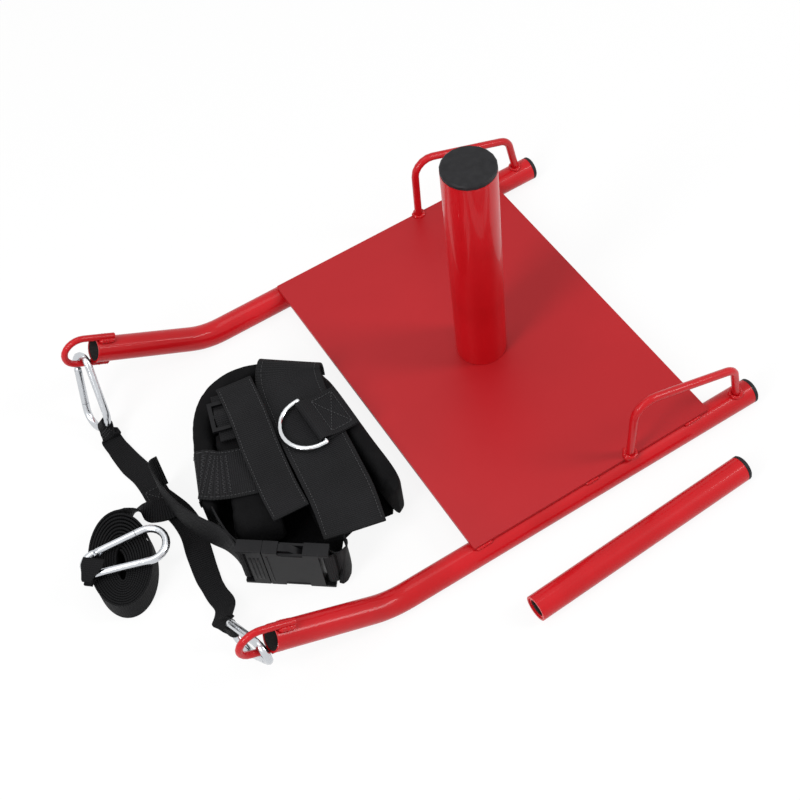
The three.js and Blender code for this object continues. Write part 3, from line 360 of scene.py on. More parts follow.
def strip_rows(node):
    mesh = bmesh.new()
    mesh.from_mesh(node.data)
    bmesh.ops.remove_doubles(mesh, verts=mesh.verts, dist=same_point)
    for seam in mesh.edges:
        end = {vert for face in seam.link_faces for vert in face.verts}
        if len(end) != 4 or max(len(vert.link_edges) for vert in end) > 5:
            continue
        layers, seen = [end], set(end)
        while len(layers[-1]) == 4:
            ahead = {edge.other_vert(vert) for vert in layers[-1] for edge in vert.link_edges} - seen
            if not ahead:
                break
            layers.append(ahead)
            seen |= ahead
        if len(seen) == len(mesh.verts) and len(layers[-1]) == 4:
            break
    else:
        raise ValueError(f"{node.name} is no strip")
    orders = [list(order) for order in itertools.permutations(layers[0])]
    diagonal = set(seam.verts)
    orders = [o for o in orders if ring_edges(o) and {o[0], o[1]} != diagonal and {o[1], o[2]} != diagonal]
    order = min(orders, key=lambda o: (o[0].co - o[1].co).length)
    rows = []
    for layer in layers:
        if rows:
            choices = [list(o) for o in itertools.permutations(layer)]
            choices = [o for o in choices if ring_edges(o)]
            order = min(choices, key=lambda o: sum((a.co - b.co).length for a, b in zip(order, o)))
        a, b, c, d = (vert.co.copy() for vert in order)
        rows.append(((a + b + c + d) / 4, (c + d - a - b) / 2, (b + c - a - d) / 2))
    mesh.free()
    return rows


# %% [markdown]
# CAD gives a section every few millimetres. A smooth curve through their middles gives three for each of
# them, spaced by distance so that a tight turn round a bar doesn't overshoot.


# %% More sections on a smooth curve
def curve_point(points, index, share):
    p1, p2 = points[index], points[index + 1]
    p0 = points[index - 1] if index > 0 else p1 * 2 - p2
    p3 = points[index + 2] if index + 2 < len(points) else p2 * 2 - p1
    t1 = max(math.sqrt((p1 - p0).length), 1e-4)
    t2 = t1 + max(math.sqrt((p2 - p1).length), 1e-4)
    t3 = t2 + max(math.sqrt((p3 - p2).length), 1e-4)
    t = t1 + (t2 - t1) * share
    a1 = p0 * ((t1 - t) / t1) + p1 * (t / t1)
    a2 = p1 * ((t2 - t) / (t2 - t1)) + p2 * ((t - t1) / (t2 - t1))
    a3 = p2 * ((t3 - t) / (t3 - t2)) + p3 * ((t - t2) / (t3 - t2))
    b1 = a1 * ((t2 - t) / t2) + a2 * (t / t2)
    b2 = a2 * ((t3 - t) / (t3 - t1)) + a3 * ((t - t1) / (t3 - t1))
    return b1 * ((t2 - t) / (t2 - t1)) + b2 * ((t - t1) / (t2 - t1))


def finer(rows, steps):
    middles = [row[0] for row in rows]
    made = []
    for index in range(len(rows) - 1):
        for step in range(steps):
            share = step / steps
            across = rows[index][1].lerp(rows[index + 1][1], share)
            thick = rows[index][2].lerp(rows[index + 1][2], share)
            length = rows[index][2].length * (1 - share) + rows[index + 1][2].length * share
            made.append((curve_point(middles, index, share), across, thick.normalized() * length))
    made.append(rows[-1])
    return made


def distances(rows):
    total = [0.0]
    for a, b in zip(rows, rows[1:]):
        total.append(total[-1] + (b[0] - a[0]).length)
    return total


# %% [markdown]
# A woven strip isn't a flat bar: its edges are rounded selvedges, a little fuller than the middle, and its
# cut ends are melted shut. The profile below has that shape. U runs across in millimetres and V along, and
# the strip's width and length are printed.

# %% Woven strips
web_middle = 0.86
half_profile = [(-1, 0), (-0.985, 0.66), (-0.955, 0.96), (-0.9, 1), (-0.82, 0.9), (-0.4, web_middle)]
profile = half_profile + [(0, web_middle)] + [(-u, t) for u, t in reversed(half_profile)]
profile += [(u, -t) for u, t in reversed(profile[1:-1])]
sections_each = 3
strips = {}


def weave(name, source, material, change=None, fuller=1.0):
    rows = strip_rows(nodes[source])
    rows = finer(change(rows) if change else rows, sections_each)
    rows = [(middle, across, thick * fuller) for middle, across, thick in rows]
    along = distances(rows)
    width = max(row[1].length for row in rows)
    mesh = bpy.data.meshes.new(name)
    verts, faces, coords = [], [], []
    count = len(profile)
    for (middle, across, thick), distance in zip(rows, along):
        for u, t in profile:
            verts.append(middle + across * (u / 2) + thick * (t / 2))
            coords.append((u * width * 500, distance * 1000))
    for i in range(len(rows) - 1):
        for j in range(count):
            k = (j + 1) % count
            faces.append((i * count + j, i * count + k, (i + 1) * count + k, (i + 1) * count + j))
    last = (len(rows) - 1) * count
    faces.append(tuple(reversed(range(count))))
    faces.append(tuple(range(last, last + count)))
    mesh.from_pydata(verts, [], faces)
    layer = mesh.uv_layers.new(name="weave")
    for loop in mesh.loops:
        layer.data[loop.index].uv = coords[loop.vertex_index]
    editor = bmesh.new()
    editor.from_mesh(mesh)
    bmesh.ops.recalc_face_normals(editor, faces=editor.faces)
    editor.to_mesh(mesh)
    editor.free()
    mesh.polygons.foreach_set("use_smooth", [len(face.vertices) == 4 for face in mesh.polygons])
    mesh.materials.append(material)
    strip = bpy.data.objects.new(name, mesh)
    bpy.context.scene.collection.objects.link(strip)
    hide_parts(source)
    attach(strip, "sled")
    strips[source] = rows
    print(f"{name}: {width * 1000:.0f} mm wide, {along[-1] * 1000:.0f} mm long")


# %% [markdown]
# Where a strap is sewn round a hook it is pinched to pass through, and it springs back to nearly its full
# width just outside. CAD keeps it narrow for longer, so here the sections beyond the pinch are opened out
# again and their directions evened, as stiff webbing does by itself. The side tab's hanging end is drawn in
# to the pad.

# %% Straps at the hooks and the side tab's end
gathered_width = 0.021
first_open_row, first_flat_row = 9, 18
tab_middle_row = 8
tab_fall, tab_tuck = 0.004, 0.0034


def gathered(rows):
    loop_first = rows[0][1].length < rows[-1][1].length
    rows = list(rows) if loop_first else list(reversed(rows))
    last = first_open_row - 1
    hand = math.copysign(1, rows[last][1].cross(rows[last][2]).dot(rows[last + 1][0] - rows[last - 1][0]))
    made = rows[:first_open_row]
    for i in range(first_open_row, len(rows)):
        middle, across, thick = rows[i]
        run = (rows[min(i + 1, len(rows) - 1)][0] - rows[i - 1][0]).normalized()
        opened = rows[first_flat_row][1] if i < first_flat_row else across
        opened = (opened - run * opened.dot(run)).normalized() * max(across.length, gathered_width)
        made.append((middle, opened, run.cross(opened).normalized() * thick.length * hand))
    return made if loop_first else list(reversed(made))


def hugging(rows):
    outward = (rows[-1][0] - rows[0][0]) * Vector((1, 1, 0))
    top = max(row[0].z for row in rows)
    made = []
    for middle, across, thick in rows:
        beyond = middle.x > rows[tab_middle_row][0].x
        hanging = min(1, max(0, (top - middle.z) / tab_fall)) if beyond else 0
        made.append((middle - outward.normalized() * tab_tuck * hanging, across, thick))
    return made


weave("near_leg", "strap_leg_left", strap_web, gathered)
weave("far_leg", "strap_leg_right", strap_web, gathered)
weave("rolled_lead", "strap_lead", strap_web, fuller=1.25)
weave("lead_end_loop", "lead_loop", strap_web)
weave("wide_chest_band", "chest_band", belt_web)
weave("narrow_cross_band", "cross_band", belt_web)
weave("slider_web", "slider_strap", belt_web)
weave("ring_tab_web", "ring_tab", belt_web)
weave("side_tab_web", "side_tab", belt_web, hugging)
weave("belt_and_tail", "belt_left", belt_web)
weave("short_belt", "belt_right", belt_web)

# %% [markdown]
# Painted shade: one black sheet lies on the floor under the bundle and another under the roll, where the
# floor would otherwise show white between the pads or between the turns. They stand for that shade and are no
# part of the harness. Each is one sheet on the floor, and its outline follows the bundle's own, or the
# roll's.

# %% Painted shade: dark sheets lying flat underneath
bundle_shade_outline_mm = [
    (311, 48), (310, 26), (304, 5), (298, -12), (291, -31), (280, -54), (269, -74), (256, -87), (242, -94),
    (228, -96), (212, -93), (197, -86), (183, -77), (173, -67), (163, -57), (159, -44), (158, -10), (159, 60),
    (161, 92), (166, 99), (205, 93), (219, 97), (226, 106), (240, 116), (262, 102), (290, 80), (305, 62),
]
roll_heading = math.radians(71.6)
roll_axis = Vector((math.cos(roll_heading), math.sin(roll_heading)))
roll_middle = Vector((0.4025, 0.0095))
roll_shade_length, roll_shade_width = 0.047, 0.026
shade_sheet_low, shade_sheet_high = 0.00004, 0.00022


# A thin black slab just above the floor, as painted shade for the dark gaps between parts.
def laid_shade_sheet(name, outline, material):
    mesh = bmesh.new()
    low = [mesh.verts.new((*point, shade_sheet_low)) for point in outline]
    high = [mesh.verts.new((*point, shade_sheet_high)) for point in outline]
    top = mesh.faces.new(high)
    mesh.faces.new(list(reversed(low)))
    for i in range(len(outline)):
        j = (i + 1) % len(outline)
        mesh.faces.new((low[i], low[j], high[j], high[i]))
    bmesh.ops.recalc_face_normals(mesh, faces=mesh.faces)
    area = top.calc_area()
    data = bpy.data.meshes.new(name)
    mesh.to_mesh(data)
    mesh.free()
    data.materials.append(material)
    piece = bpy.data.objects.new(name, data)
    bpy.context.scene.collection.objects.link(piece)
    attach(piece, "sled")


bundle_shade_outline = [(x / 1000, y / 1000) for x, y in bundle_shade_outline_mm]
# Painted shade under the bundle, in the pad cover's black.
laid_shade_sheet("painted_shade_under_bundle", bundle_shade_outline, pad_cover)
roll_side = roll_axis.orthogonal()
turn = [k * math.pi / 16 for k in range(32)]
roll_shade_outline = [
    roll_middle + roll_axis * (roll_shade_length * math.cos(a)) + roll_side * (roll_shade_width * math.sin(a))
    for a in turn
]
# Painted shade under the roll, in the pad cover's black.
laid_shade_sheet("painted_shade_under_roll", roll_shade_outline, pad_cover)

# %% [markdown]
# The pads are foam sleeves. The CAD solid is drawn in by 2.2 mm, remeshed into even cloth, blown up with a
# little pressure and a cover five percent too large, and then held inside the CAD solid. The cover's
# spare cloth buckles into the shallow creases that a real padded belt has.


# %% Pads
cloth_cell = 0.0045
drawn_in = 0.0022
skin_clearance = 0.0003
cover_pressure, cover_growth = 4, 0.05
settling_frames = 20


def puffed(name, source):
    solid = bmesh.new()
    solid.from_mesh(nodes[source].data)
    bmesh.ops.remove_doubles(solid, verts=solid.verts, dist=same_point)
    solid.normal_update()
    shell = BVHTree.FromBMesh(solid)
    for vert in solid.verts:
        vert.co -= vert.normal * drawn_in
    mesh = bpy.data.meshes.new(name)
    solid.to_mesh(mesh)
    solid.free()
    pad = bpy.data.objects.new(name, mesh)
    bpy.context.scene.collection.objects.link(pad)
    remesh = pad.modifiers.new("remesh", "REMESH")
    remesh.mode = "VOXEL"
    remesh.voxel_size = cloth_cell
    apply_modifiers(pad)
    cloth = pad.modifiers.new("cloth", "CLOTH")
    cloth.settings.use_pressure = True
    cloth.settings.uniform_pressure_force = cover_pressure
    cloth.settings.shrink_min = -cover_growth
    cloth.settings.effector_weights.gravity = 0
    cloth.point_cache.frame_end = settling_frames
    for step in range(1, settling_frames + 1):
        bpy.context.scene.frame_set(step)
    apply_modifiers(pad)
    bpy.context.scene.frame_set(1)
    held = 0
    for vert in pad.data.vertices:
        place, normal, _, _ = shell.find_nearest(vert.co)
        depth = (place - vert.co).dot(normal)
        if depth < skin_clearance:
            vert.co = place - normal * skin_clearance
            held += 1
    finer_skin = pad.modifiers.new("finer", "SUBSURF")
    finer_skin.levels = finer_skin.render_levels = 1
    apply_modifiers(pad)
    pad.data.polygons.foreach_set("use_smooth", [True] * len(pad.data.polygons))
    pad.data.materials.append(pad_cover)
    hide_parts(source)
    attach(pad, "sled")
    print(f"{name}: {len(pad.data.vertices)} points, {held} held at the CAD surface")


def apply_modifiers(piece):
    bpy.context.view_layer.update()
    seen = piece.evaluated_get(bpy.context.evaluated_depsgraph_get())
    mesh = bpy.data.meshes.new_from_object(seen)
    piece.modifiers.clear()
    piece.data = mesh


puffed("waist_cushion", "waist_pad")
puffed("folded_cushion_right", "shoulder_pad_right")
puffed("folded_cushion_left", "shoulder_pad_left")

# %% [markdown]
# Stitches are small raised grains of thread. Each one is a short spindle with its ends sunk in the web. They
# follow lines that are given across and along a strip in millimetres, so that they stay on it where it bends.


# %% Stitching
spindle_sides = 6
stitch_start, stitch_end = 0.12, 0.88


def place_on(rows, along, distance, across, side):
    distance = min(max(distance, 0), along[-1])
    index = max(i for i in range(len(rows) - 1) if along[i] <= distance)
    span = along[index + 1] - along[index]
    share = (distance - along[index]) / span if span else 0
    middle = rows[index][0].lerp(rows[index + 1][0], share)
    width = rows[index][1].lerp(rows[index + 1][1], share)
    thick = rows[index][2].lerp(rows[index + 1][2], share)
    return middle + width.normalized() * across + thick * (web_middle / 2 * side), thick.normalized() * side


def spindle(mesh, start, end, up, radius):
    axis = (end - start).normalized()
    side = axis.cross(up).normalized()
    rings = []
    shape = ((0, -0.4, 0.5), (0.2, 0.5, 0.95), (0.5, 0.75, 1), (0.8, 0.5, 0.95), (1, -0.4, 0.5))
    for share, lift, size in shape:
        centre = start.lerp(end, share) + up * (lift * radius)
        ring = []
        for k in range(spindle_sides):
            angle = k * 2 * math.pi / spindle_sides
            out = side * math.cos(angle) + up * math.sin(angle)
            ring.append(mesh.verts.new(centre + out * radius * size))
        rings.append(ring)
    for a, b in zip(rings, rings[1:]):
        for k in range(spindle_sides):
            following = (k + 1) % spindle_sides
            mesh.faces.new((a[k], a[following], b[following], b[k]))
    mesh.faces.new(list(reversed(rings[0])))
    mesh.faces.new(rings[-1])


def finish_piece(mesh, name, material, body):
    bmesh.ops.recalc_face_normals(mesh, faces=mesh.faces)
    data = bpy.data.meshes.new(name)
    mesh.to_mesh(data)
    mesh.free()
    data.polygons.foreach_set("use_smooth", [True] * len(data.polygons))
    data.materials.append(material)
    piece = bpy.data.objects.new(name, data)
    bpy.context.scene.collection.objects.link(piece)
    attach(piece, body)


def stitch(name, source, lines, side, pitch=0.0034, radius=0.0004):
    rows = strips[source]
    along = distances(rows)
    mesh = bmesh.new()
    made = 0
    for line in lines:
        for (u0, s0), (u1, s1) in zip(line, line[1:]):
            count = max(1, round(math.hypot(u1 - u0, s1 - s0) / 1000 / pitch))
            for k in range(count):
                ends = []
                for share in ((k + stitch_start) / count, (k + stitch_end) / count):
                    across = (u0 + (u1 - u0) * share) / 1000
                    distance = (s0 + (s1 - s0) * share) / 1000
                    ends.append(place_on(rows, along, distance, across, side))
                spindle(mesh, ends[0][0], ends[1][0], ends[0][1], radius)
                made += 1
    finish_piece(mesh, name, thread, "sled")
    print(f"{name}: {made} stitches")


def box_x(u0, u1, s0, s1):
    frame_line = [(u0, s0), (u1, s0), (u1, s1), (u0, s1), (u0, s0)]
    return [frame_line, [(u0, s0), (u1, s1)], [(u1, s0), (u0, s1)]]


def top_side(source, distance):
    rows = strips[source]
    along = distances(rows)
    return 1 if place_on(rows, along, distance / 1000, 0, 1)[1].z > 0 else -1


# %% [markdown]
# The ring's tab is sewn down with a box and a cross, the strongest way to fix webbing. The side tab has
# close zigzag bars between two plain seams, and each band has a line along both edges.

# %% Seams of the harness
tab_length = distances(strips["ring_tab"])[-1] * 1000
stitch("ring_tab_seam", "ring_tab", box_x(-20, 20, 5, 27), top_side("ring_tab", 16))
side_length = distances(strips["side_tab"])[-1] * 1000
bar_half, bars_back, bar_gap, bar_count = 21, 42, 5, 7
zig, zag = 2.1, 1.6
zigzag = []
for lane in range(bar_count):
    s = side_length - bars_back + lane * bar_gap
    zigzag.append([(-bar_half + k * zig, s + (zag if k % 2 else -zag)) for k in range(21)])
stitch("side_tab_bars", "side_tab", zigzag, top_side("side_tab", side_length - 20), 0.0027, 0.00032)
stitch(
    "side_tab_seam",
    "side_tab",
    [[(-24, 8), (-24, side_length - 3)], [(24, 8), (24, side_length - 3)]],
    top_side("side_tab", side_length - 20),
)
chest_length = distances(strips["chest_band"])[-1] * 1000
stitch(
    "chest_band_seam",
    "chest_band",
    [[(-26, 24), (-26, chest_length - 4)], [(26, 24), (26, chest_length - 4)]],
    top_side("chest_band", chest_length / 2),
)
cross_length = distances(strips["cross_band"])[-1] * 1000
stitch(
    "cross_band_seam",
    "cross_band",
    [[(-15.5, 3), (-15.5, cross_length - 3)], [(15.5, 3), (15.5, cross_length - 3)]],
    top_side("cross_band", cross_length / 2),
)
print("tab", round(tab_length), "side tab", round(side_length), "band", round(chest_length), "mm")

# %% [markdown]
# A small box and cross sews the far leg to the near one. Three short bars close the far leg behind its hook,
# and the near leg has the same three where it comes to the crossing.

# %% Seams of the pull strap
leg_length = distances(strips["strap_leg_right"])[-1] * 1000
stitch(
    "junction_seam",
    "strap_leg_right",
    box_x(-9, 9, leg_length - 27, leg_length - 4),
    top_side("strap_leg_right", leg_length - 10),
)
for leg in ("strap_leg_left", "strap_leg_right"):
    stitch(f"{leg}_bar", leg, [[(-5, s), (5, s)] for s in (36, 38.4, 40.8)], top_side(leg, 38), 0.0022)

# %% [markdown]
# Weld metal freezes in overlapping ripples, and powder coat rounds them over. Each bead is a tube along its
# joint whose radius rises and falls with the ripples, with a slow noise so that no two beads are alike. The
# feet of the handles are tacked by hand in a tight place, so their rings are the roughest.


# %% Weld beads
bead_step, bead_sides = 0.0006, 10
ripple_depth, blunt_end, end_growth = 0.16, 0.35, 0.8
lumps_per_metre = 260
no_bead_runs_this_way = Vector((0.13, 0.21, 0.97))
sleeve_sides = 32


def bead(name, points, radius, ripple=0.0032, closed=False, rough=0.16):
    mesh = bmesh.new()
    fine = []
    for a, b in zip(points, points[1:]):
        count = max(1, round((b - a).length / bead_step))
        fine += [a.lerp(b, k / count) for k in range(count)]
    fine.append(points[-1])
    total = 0.0
    rings = []
    for i, point in enumerate(fine):
        ahead = fine[min(i + 1, len(fine) - 1)] - fine[max(i - 1, 0)]
        axis = ahead.normalized()
        side = axis.cross(no_bead_runs_this_way).normalized()
        up = side.cross(axis)
        if i:
            total += (point - fine[i - 1]).length
        wave = 1 - ripple_depth + ripple_depth * abs(math.sin(math.pi * total / ripple))
        from_end = min(total, (len(fine) - 1 - i) * bead_step)
        ends = 1 if closed else min(1.0, blunt_end + from_end / radius * end_growth)
        size = radius * wave * ends * (1 + rough * noise.noise(point * lumps_per_metre))
        ring = []
        for k in range(bead_sides):
            angle = k * 2 * math.pi / bead_sides
            out = side * math.cos(angle) + up * math.sin(angle)
            ring.append(mesh.verts.new(point + out * size))
        rings.append(ring)
    for a, b in zip(rings, rings[1:]):
        for k in range(bead_sides):
            following = (k + 1) % bead_sides
            mesh.faces.new((a[k], a[following], b[following], b[k]))
    mesh.faces.new(list(reversed(rings[0])))
    mesh.faces.new(rings[-1])
    finish_piece(mesh, name, gloss_coat, "sled")


def sleeve(name, start, axis, side, outer, inner, length):
    mesh = bmesh.new()
    other = axis.cross(side)
    rings = []
    for radius, along in ((outer, 0), (outer, length), (inner, length), (inner, 0)):
        rings.append(
            [
                mesh.verts.new(start + axis * along + (side * math.cos(a) + other * math.sin(a)) * radius)
                for a in (k * 2 * math.pi / sleeve_sides for k in range(sleeve_sides))
            ]
        )
    for a, b in zip(rings, rings[1:] + rings[:1]):
        for k in range(sleeve_sides):
            following = (k + 1) % sleeve_sides
            mesh.faces.new((a[k], a[following], b[following], b[k]))
    finish_piece(mesh, name, mill_scale, "sled")


def circle(centre, radius, height, steps=36):
    return [
        centre + Vector((radius * math.cos(a), radius * math.sin(a), height(radius * math.sin(a))))
        for a in (k * 2 * math.pi / steps for k in range(steps + 1))
    ]


nose_angle = math.radians(30)
nose = Vector((math.cos(nose_angle), 0, math.sin(nose_angle)))
nose_up = Vector((-math.sin(nose_angle), 0, math.cos(nose_angle)))
runner_radius, saddle_radius = 0.0125, 0.0131
deck_top, deck_seam, deck_edge = 0.0297, 0.0255, 0.1874
# Where each tack starts and its length. Its name counts millimetres from a line 200 mm behind the post.
deck_tacks = ((0.112, 0.017), (-0.005, 0.014), (-0.122, 0.018))
front_foot_inset, rear_foot_inset = 0.004, 0.0043
foot_ring, foot_ripple = 0.005, 0.0045
front_weld_radius, rear_weld_radius, deck_weld_radius = 0.0023, 0.0021, 0.0017
eye_weld_height, eye_weld_lean, eye_weld_radius = 0.0137, 0.0034, 0.0028
eye_weld_back, eye_weld_front = -0.0185, -0.0018
bore_outer, bore_inner, bore_depth = 0.0107, 0.0104, 0.06
for side, sign in (("left", 1), ("right", -1)):
    low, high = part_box(f"handle_{side}")
    middle = (low[1] + high[1]) / 2
    tube_axis = sum(corner[1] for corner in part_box(f"runner_{side}")) / 2
    front = Vector((high[0] - front_foot_inset, middle, deck_top))
    ring = circle(front, foot_ring, lambda y: 0)
    bead(f"handle_front_weld_{side}", ring, front_weld_radius, foot_ripple, True, 0.7)
    rear = Vector((low[0] + rear_foot_inset, middle, runner_radius))
    offset = middle - tube_axis
    ring = circle(rear, foot_ring, lambda y: math.sqrt(saddle_radius**2 - (y + offset) ** 2))
    bead(f"handle_rear_weld_{side}", ring, rear_weld_radius, foot_ripple, True, 0.6)
    edge = sign * deck_edge
    for start, length in deck_tacks:
        line = [Vector((start, edge, deck_seam)), Vector((start + length, edge, deck_seam))]
        bead(f"deck_weld_{side}_{round(start * 1000 + 200)}", line, deck_weld_radius)
    eye_low, eye_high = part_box(f"tow_eye_{side}")
    eye_axis = (eye_low[1] + eye_high[1]) / 2
    mouth_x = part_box(f"runner_{side}")[1][0] - runner_radius * math.sin(nose_angle)
    mouth_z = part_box(f"runner_{side}")[1][2] - runner_radius * math.cos(nose_angle)
    mouth = Vector((mouth_x, eye_axis, mouth_z))
    for place, offset in (("top", eye_weld_height), ("under", -eye_weld_height)):
        for edge_name, lean in (("a", eye_weld_lean), ("b", -eye_weld_lean)):
            line = [
                mouth + nose * along_tube + nose_up * offset + Vector((0, lean, 0))
                for along_tube in (eye_weld_back, eye_weld_front)
            ]
            bead(f"eye_weld_{place}_{edge_name}_{side}", line, eye_weld_radius)
    inside = mouth - nose * 0.0006
    sleeve(f"bore_skin_{side}", inside, -nose, nose_up, bore_outer, bore_inner, bore_depth)

# %% [markdown]
# The posts screw on a stud, so both the stud and the ring in the spare post's mouth carry a thread. It is a
# helix: a small ridge with a narrow flat top, laid on the wall, that climbs two millimetres each turn. The
# spare post's ring is bare steel inside, so a thin dark sleeve lines its bore.


# %% Threads
thread_pitch = 0.002
ridge_foot, ridge_top = 0.42, 0.08


def helix(name, origin, axis, side, radius, pitch, turns, height, material, body):
    mesh = bmesh.new()
    other = axis.cross(side)
    steps = 28
    sections = []
    for i in range(int(turns * steps) + 1):
        angle = i * 2 * math.pi / steps
        out = side * math.cos(angle) + other * math.sin(angle)
        along = pitch * i / steps
        fade = min(1, i / steps, (turns * steps - i) / steps)
        section = [
            (-pitch * ridge_foot, 0),
            (-pitch * ridge_top, height * fade),
            (pitch * ridge_top, height * fade),
            (pitch * ridge_foot, 0),
        ]
        centre = origin + axis * along
        sections.append([mesh.verts.new(centre + axis * a + out * (radius + h)) for a, h in section])
    for a, b in zip(sections, sections[1:]):
        for k in range(4):
            mesh.faces.new((a[k], a[(k + 1) % 4], b[(k + 1) % 4], b[k]))
    mesh.faces.new(list(reversed(sections[0])))
    mesh.faces.new(sections[-1])
    finish_piece(mesh, name, material, body)


up = Vector((0, 0, 1))
stud_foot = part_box("post_stud")[0][2]
stud_radius, stud_ridge, stud_turns = 0.00795, 0.0002, 10.5
helix(
    "stud_thread",
    Vector((0, 0, stud_foot + 0.003)),
    up,
    Vector((1, 0, 0)),
    stud_radius,
    thread_pitch,
    stud_turns,
    stud_ridge,
    gloss_coat,
    "sled",
)
low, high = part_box("spare_post_bush")
yaw = math.radians(2.7)
spare_axis = Vector((-math.cos(yaw), -math.sin(yaw), 0))
spare_mouth = Vector((high[0] - 0.0005, (low[1] + high[1]) / 2 + 0.0004, (low[2] + high[2]) / 2))
bush_bore, bush_lining, bush_depth = 0.0084, 0.0082, 0.03
bush_ridge, bush_turns = -0.0009, 7.5
lining_start = spare_mouth + spare_axis * 0.0007
sleeve("spare_bush_bore", lining_start, spare_axis, up, bush_bore, bush_lining, bush_depth)
helix(
    "spare_bush_thread",
    spare_mouth + spare_axis * 0.001,
    spare_axis,
    up,
    bush_bore,
    thread_pitch,
    bush_turns,
    bush_ridge,
    mill_scale,
    "sled",
)
print("threads on the stud and in the spare post")

# %% [markdown]
# The buckle's two halves are injection moulded. The male half has raised grip ribs across it. The female half
# has a raised rim along each window, where a finger finds the prong, and one across its mouth. They are thin
# bars with rounded tops, set on the CAD faces in the buckle's own frame: X along it, Y through it, Z up.


# %% Ribs on the buckle
buckle_x = Vector((-0.791, 0.611, 0)).normalized()
buckle_y = Vector((0, 0, 1)).cross(buckle_x)
buckle_frame = Matrix((buckle_x, buckle_y, Vector((0, 0, 1)))).transposed()
low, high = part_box("buckle_male")
buckle_half_length, buckle_face = 0.0419, 0.0065
buckle_middle = Vector((0.278, 0.105, (low[2] + high[2]) / 2))
buckle_start = buckle_middle - buckle_x * buckle_half_length
bar_steps, bar_sunk, bar_shoulder = 6, 0.0003, 0.72


def moulded_bar(mesh, x0, x1, z0, z1, face, proud):
    """A pillow with a rounded top on the face y = face of the buckle, standing proud by that much."""
    out = 1 if face > 0 else -1
    grid = []
    for i in range(bar_steps + 1):
        row = []
        for j in range(bar_steps + 1):
            a, b = i / bar_steps, j / bar_steps
            edge = min(a, 1 - a, b, 1 - b) * bar_steps
            height = -bar_sunk if edge < 0.5 else proud * (bar_shoulder if edge < 1.5 else 1.0)
            x = x0 + (x1 - x0) * (0.5 - 0.5 * math.cos(math.pi * a))
            z = z0 + (z1 - z0) * (0.5 - 0.5 * math.cos(math.pi * b))
            local = Vector((x, face + out * height, z))
            row.append(mesh.verts.new(buckle_start + buckle_frame @ local))
        grid.append(row)
    for i in range(bar_steps):
        for j in range(bar_steps):
            mesh.faces.new((grid[i][j], grid[i + 1][j], grid[i + 1][j + 1], grid[i][j + 1]))
    rim = [row[0] for row in grid] + grid[-1][1:] + [row[-1] for row in grid[-2::-1]] + grid[0][-2:0:-1]
    mesh.faces.new(rim)


def moulded_bars(name, bars, proud):
    mesh = bmesh.new()
    for x0, x1, z0, z1, face in bars:
        moulded_bar(mesh, x0, x1, z0, z1, face, proud)
    finish_piece(mesh, name, nylon, "sled")
    print(name, len(bars), "bars")


faces = (-buckle_face, buckle_face)
rib_starts, rib_width, rib_half = (0.0105, 0.0142, 0.0179), 0.0022, 0.021
grips = [(x, x + rib_width, -rib_half, rib_half, face) for x in rib_starts for face in faces]
moulded_bars("buckle_grip_ribs", grips, 0.0007)
rims = []
window_start, window_end, window_near, window_far = 0.0375, 0.0615, 0.0242, 0.0262
mouth_start, mouth_end, mouth_half = 0.0268, 0.0284, 0.0255
for face in faces:
    for sign in (1, -1):
        z0, z1 = sorted((sign * window_near, sign * window_far))
        rims.append((window_start, window_end, z0, z1, face))
    rims.append((mouth_start, mouth_end, -mouth_half, mouth_half, face))
moulded_bars("buckle_window_rims", rims, 0.0006)

# %% [markdown]
# A plain pale floor, soft lamps and a pale room. The floor is mostly its own light for the camera, so it
# reads as white paper, and the small share of real reflection keeps the sled's shadow on it. The room is
# white where it is looked at, in a mirror too, and lights the sled with less than half of that.


# %% Floor, room and lamps
def looked_at(tree):
    """1 where the camera, a mirror or clear plastic looks straight at the surface, and 0 for other light."""
    path = put(tree, "ShaderNodeLightPath")
    mirrored = put(
        tree,
        "ShaderNodeMath",
        {"operation": "MAXIMUM"},
        {0: path.outputs["Is Camera Ray"], 1: path.outputs["Is Glossy Ray"]},
    )
    seen = put(
        tree,
        "ShaderNodeMath",
        {"operation": "MAXIMUM"},
        {0: mirrored.outputs[0], 1: path.outputs["Is Transmission Ray"]},
    )
    return seen.outputs[0]


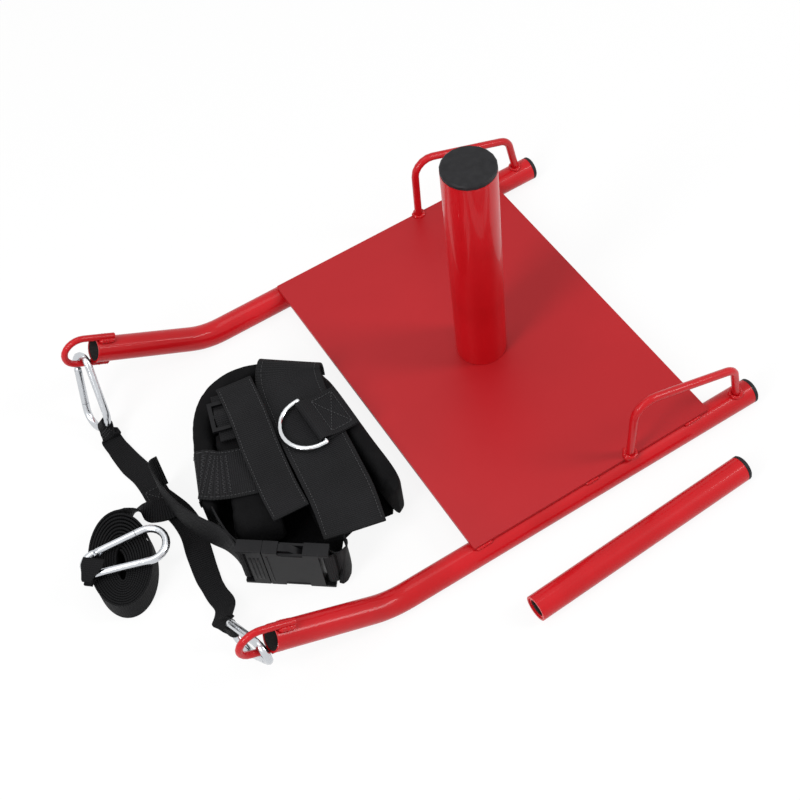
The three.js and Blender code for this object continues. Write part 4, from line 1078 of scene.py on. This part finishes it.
def add_floor(reach, paper_share):
    mesh = bpy.data.meshes.new("floor")
    corners = [(-reach, -reach, 0), (reach, -reach, 0), (reach, reach, 0), (-reach, reach, 0)]
    mesh.from_pydata(corners, [], [(0, 1, 2, 3)])
    floor = bpy.data.objects.new("floor", mesh)
    floor.location.z = -0.0002
    bpy.context.scene.collection.objects.link(floor)
    material = bpy.data.materials.new("paper_floor")
    material.use_nodes = True
    tree = material.node_tree
    shader = tree.nodes["Principled BSDF"]
    shader.inputs["Base Color"].default_value = linear("F4F4F4")
    shader.inputs["Roughness"].default_value = 0.9
    shader.inputs["Specular IOR Level"].default_value = 0.1
    glow = put(tree, "ShaderNodeEmission", {"Color": (1, 1, 1, 1), "Strength": 1.0})
    share = put(tree, "ShaderNodeMath", {"operation": "MULTIPLY", 1: paper_share}, {0: looked_at(tree)})
    mix = put(
        tree,
        "ShaderNodeMixShader",
        links={"Fac": share.outputs[0], 1: shader.outputs["BSDF"], 2: glow.outputs["Emission"]},
    )
    tree.links.new(mix.outputs["Shader"], tree.nodes["Material Output"].inputs["Surface"])
    mesh.materials.append(material)


def add_lamp(name, place, target, size, power):
    data = bpy.data.lights.new(name, "AREA")
    data.shape = "RECTANGLE"
    data.size, data.size_y = size
    data.energy = power
    lamp = bpy.data.objects.new(name, data)
    lamp.location = place
    lamp.rotation_euler = (Vector(target) - Vector(place)).to_track_quat("-Z", "Y").to_euler()
    bpy.context.scene.collection.objects.link(lamp)


add_floor(reach=30, paper_share=0.88)
world = bpy.data.worlds.new("pale_room")
world.use_nodes = True
room_light = 0.45
room = world.node_tree.nodes["Background"]
room.inputs["Color"].default_value = (1, 1, 1, 1)
room_strength = put(
    world.node_tree,
    "ShaderNodeMath",
    {"operation": "MULTIPLY_ADD", 1: 1 - room_light, 2: room_light},
    {0: looked_at(world.node_tree)},
)
world.node_tree.links.new(room_strength.outputs[0], room.inputs["Strength"])
bpy.context.scene.world = world
add_lamp("left_box", (1.6, 0.5, 1.5), (0.1, 0, 0.05), (0.5, 1.4), 26)
add_lamp("right_box", (-1.5, 0.9, 1.4), (0, 0, 0.05), (0.5, 1.4), 21)
add_lamp("top_box", (0.2, -0.4, 2.0), (0.1, 0, 0), (1.2, 1.2), 8)
bpy.context.scene.view_settings.view_transform = "Standard"
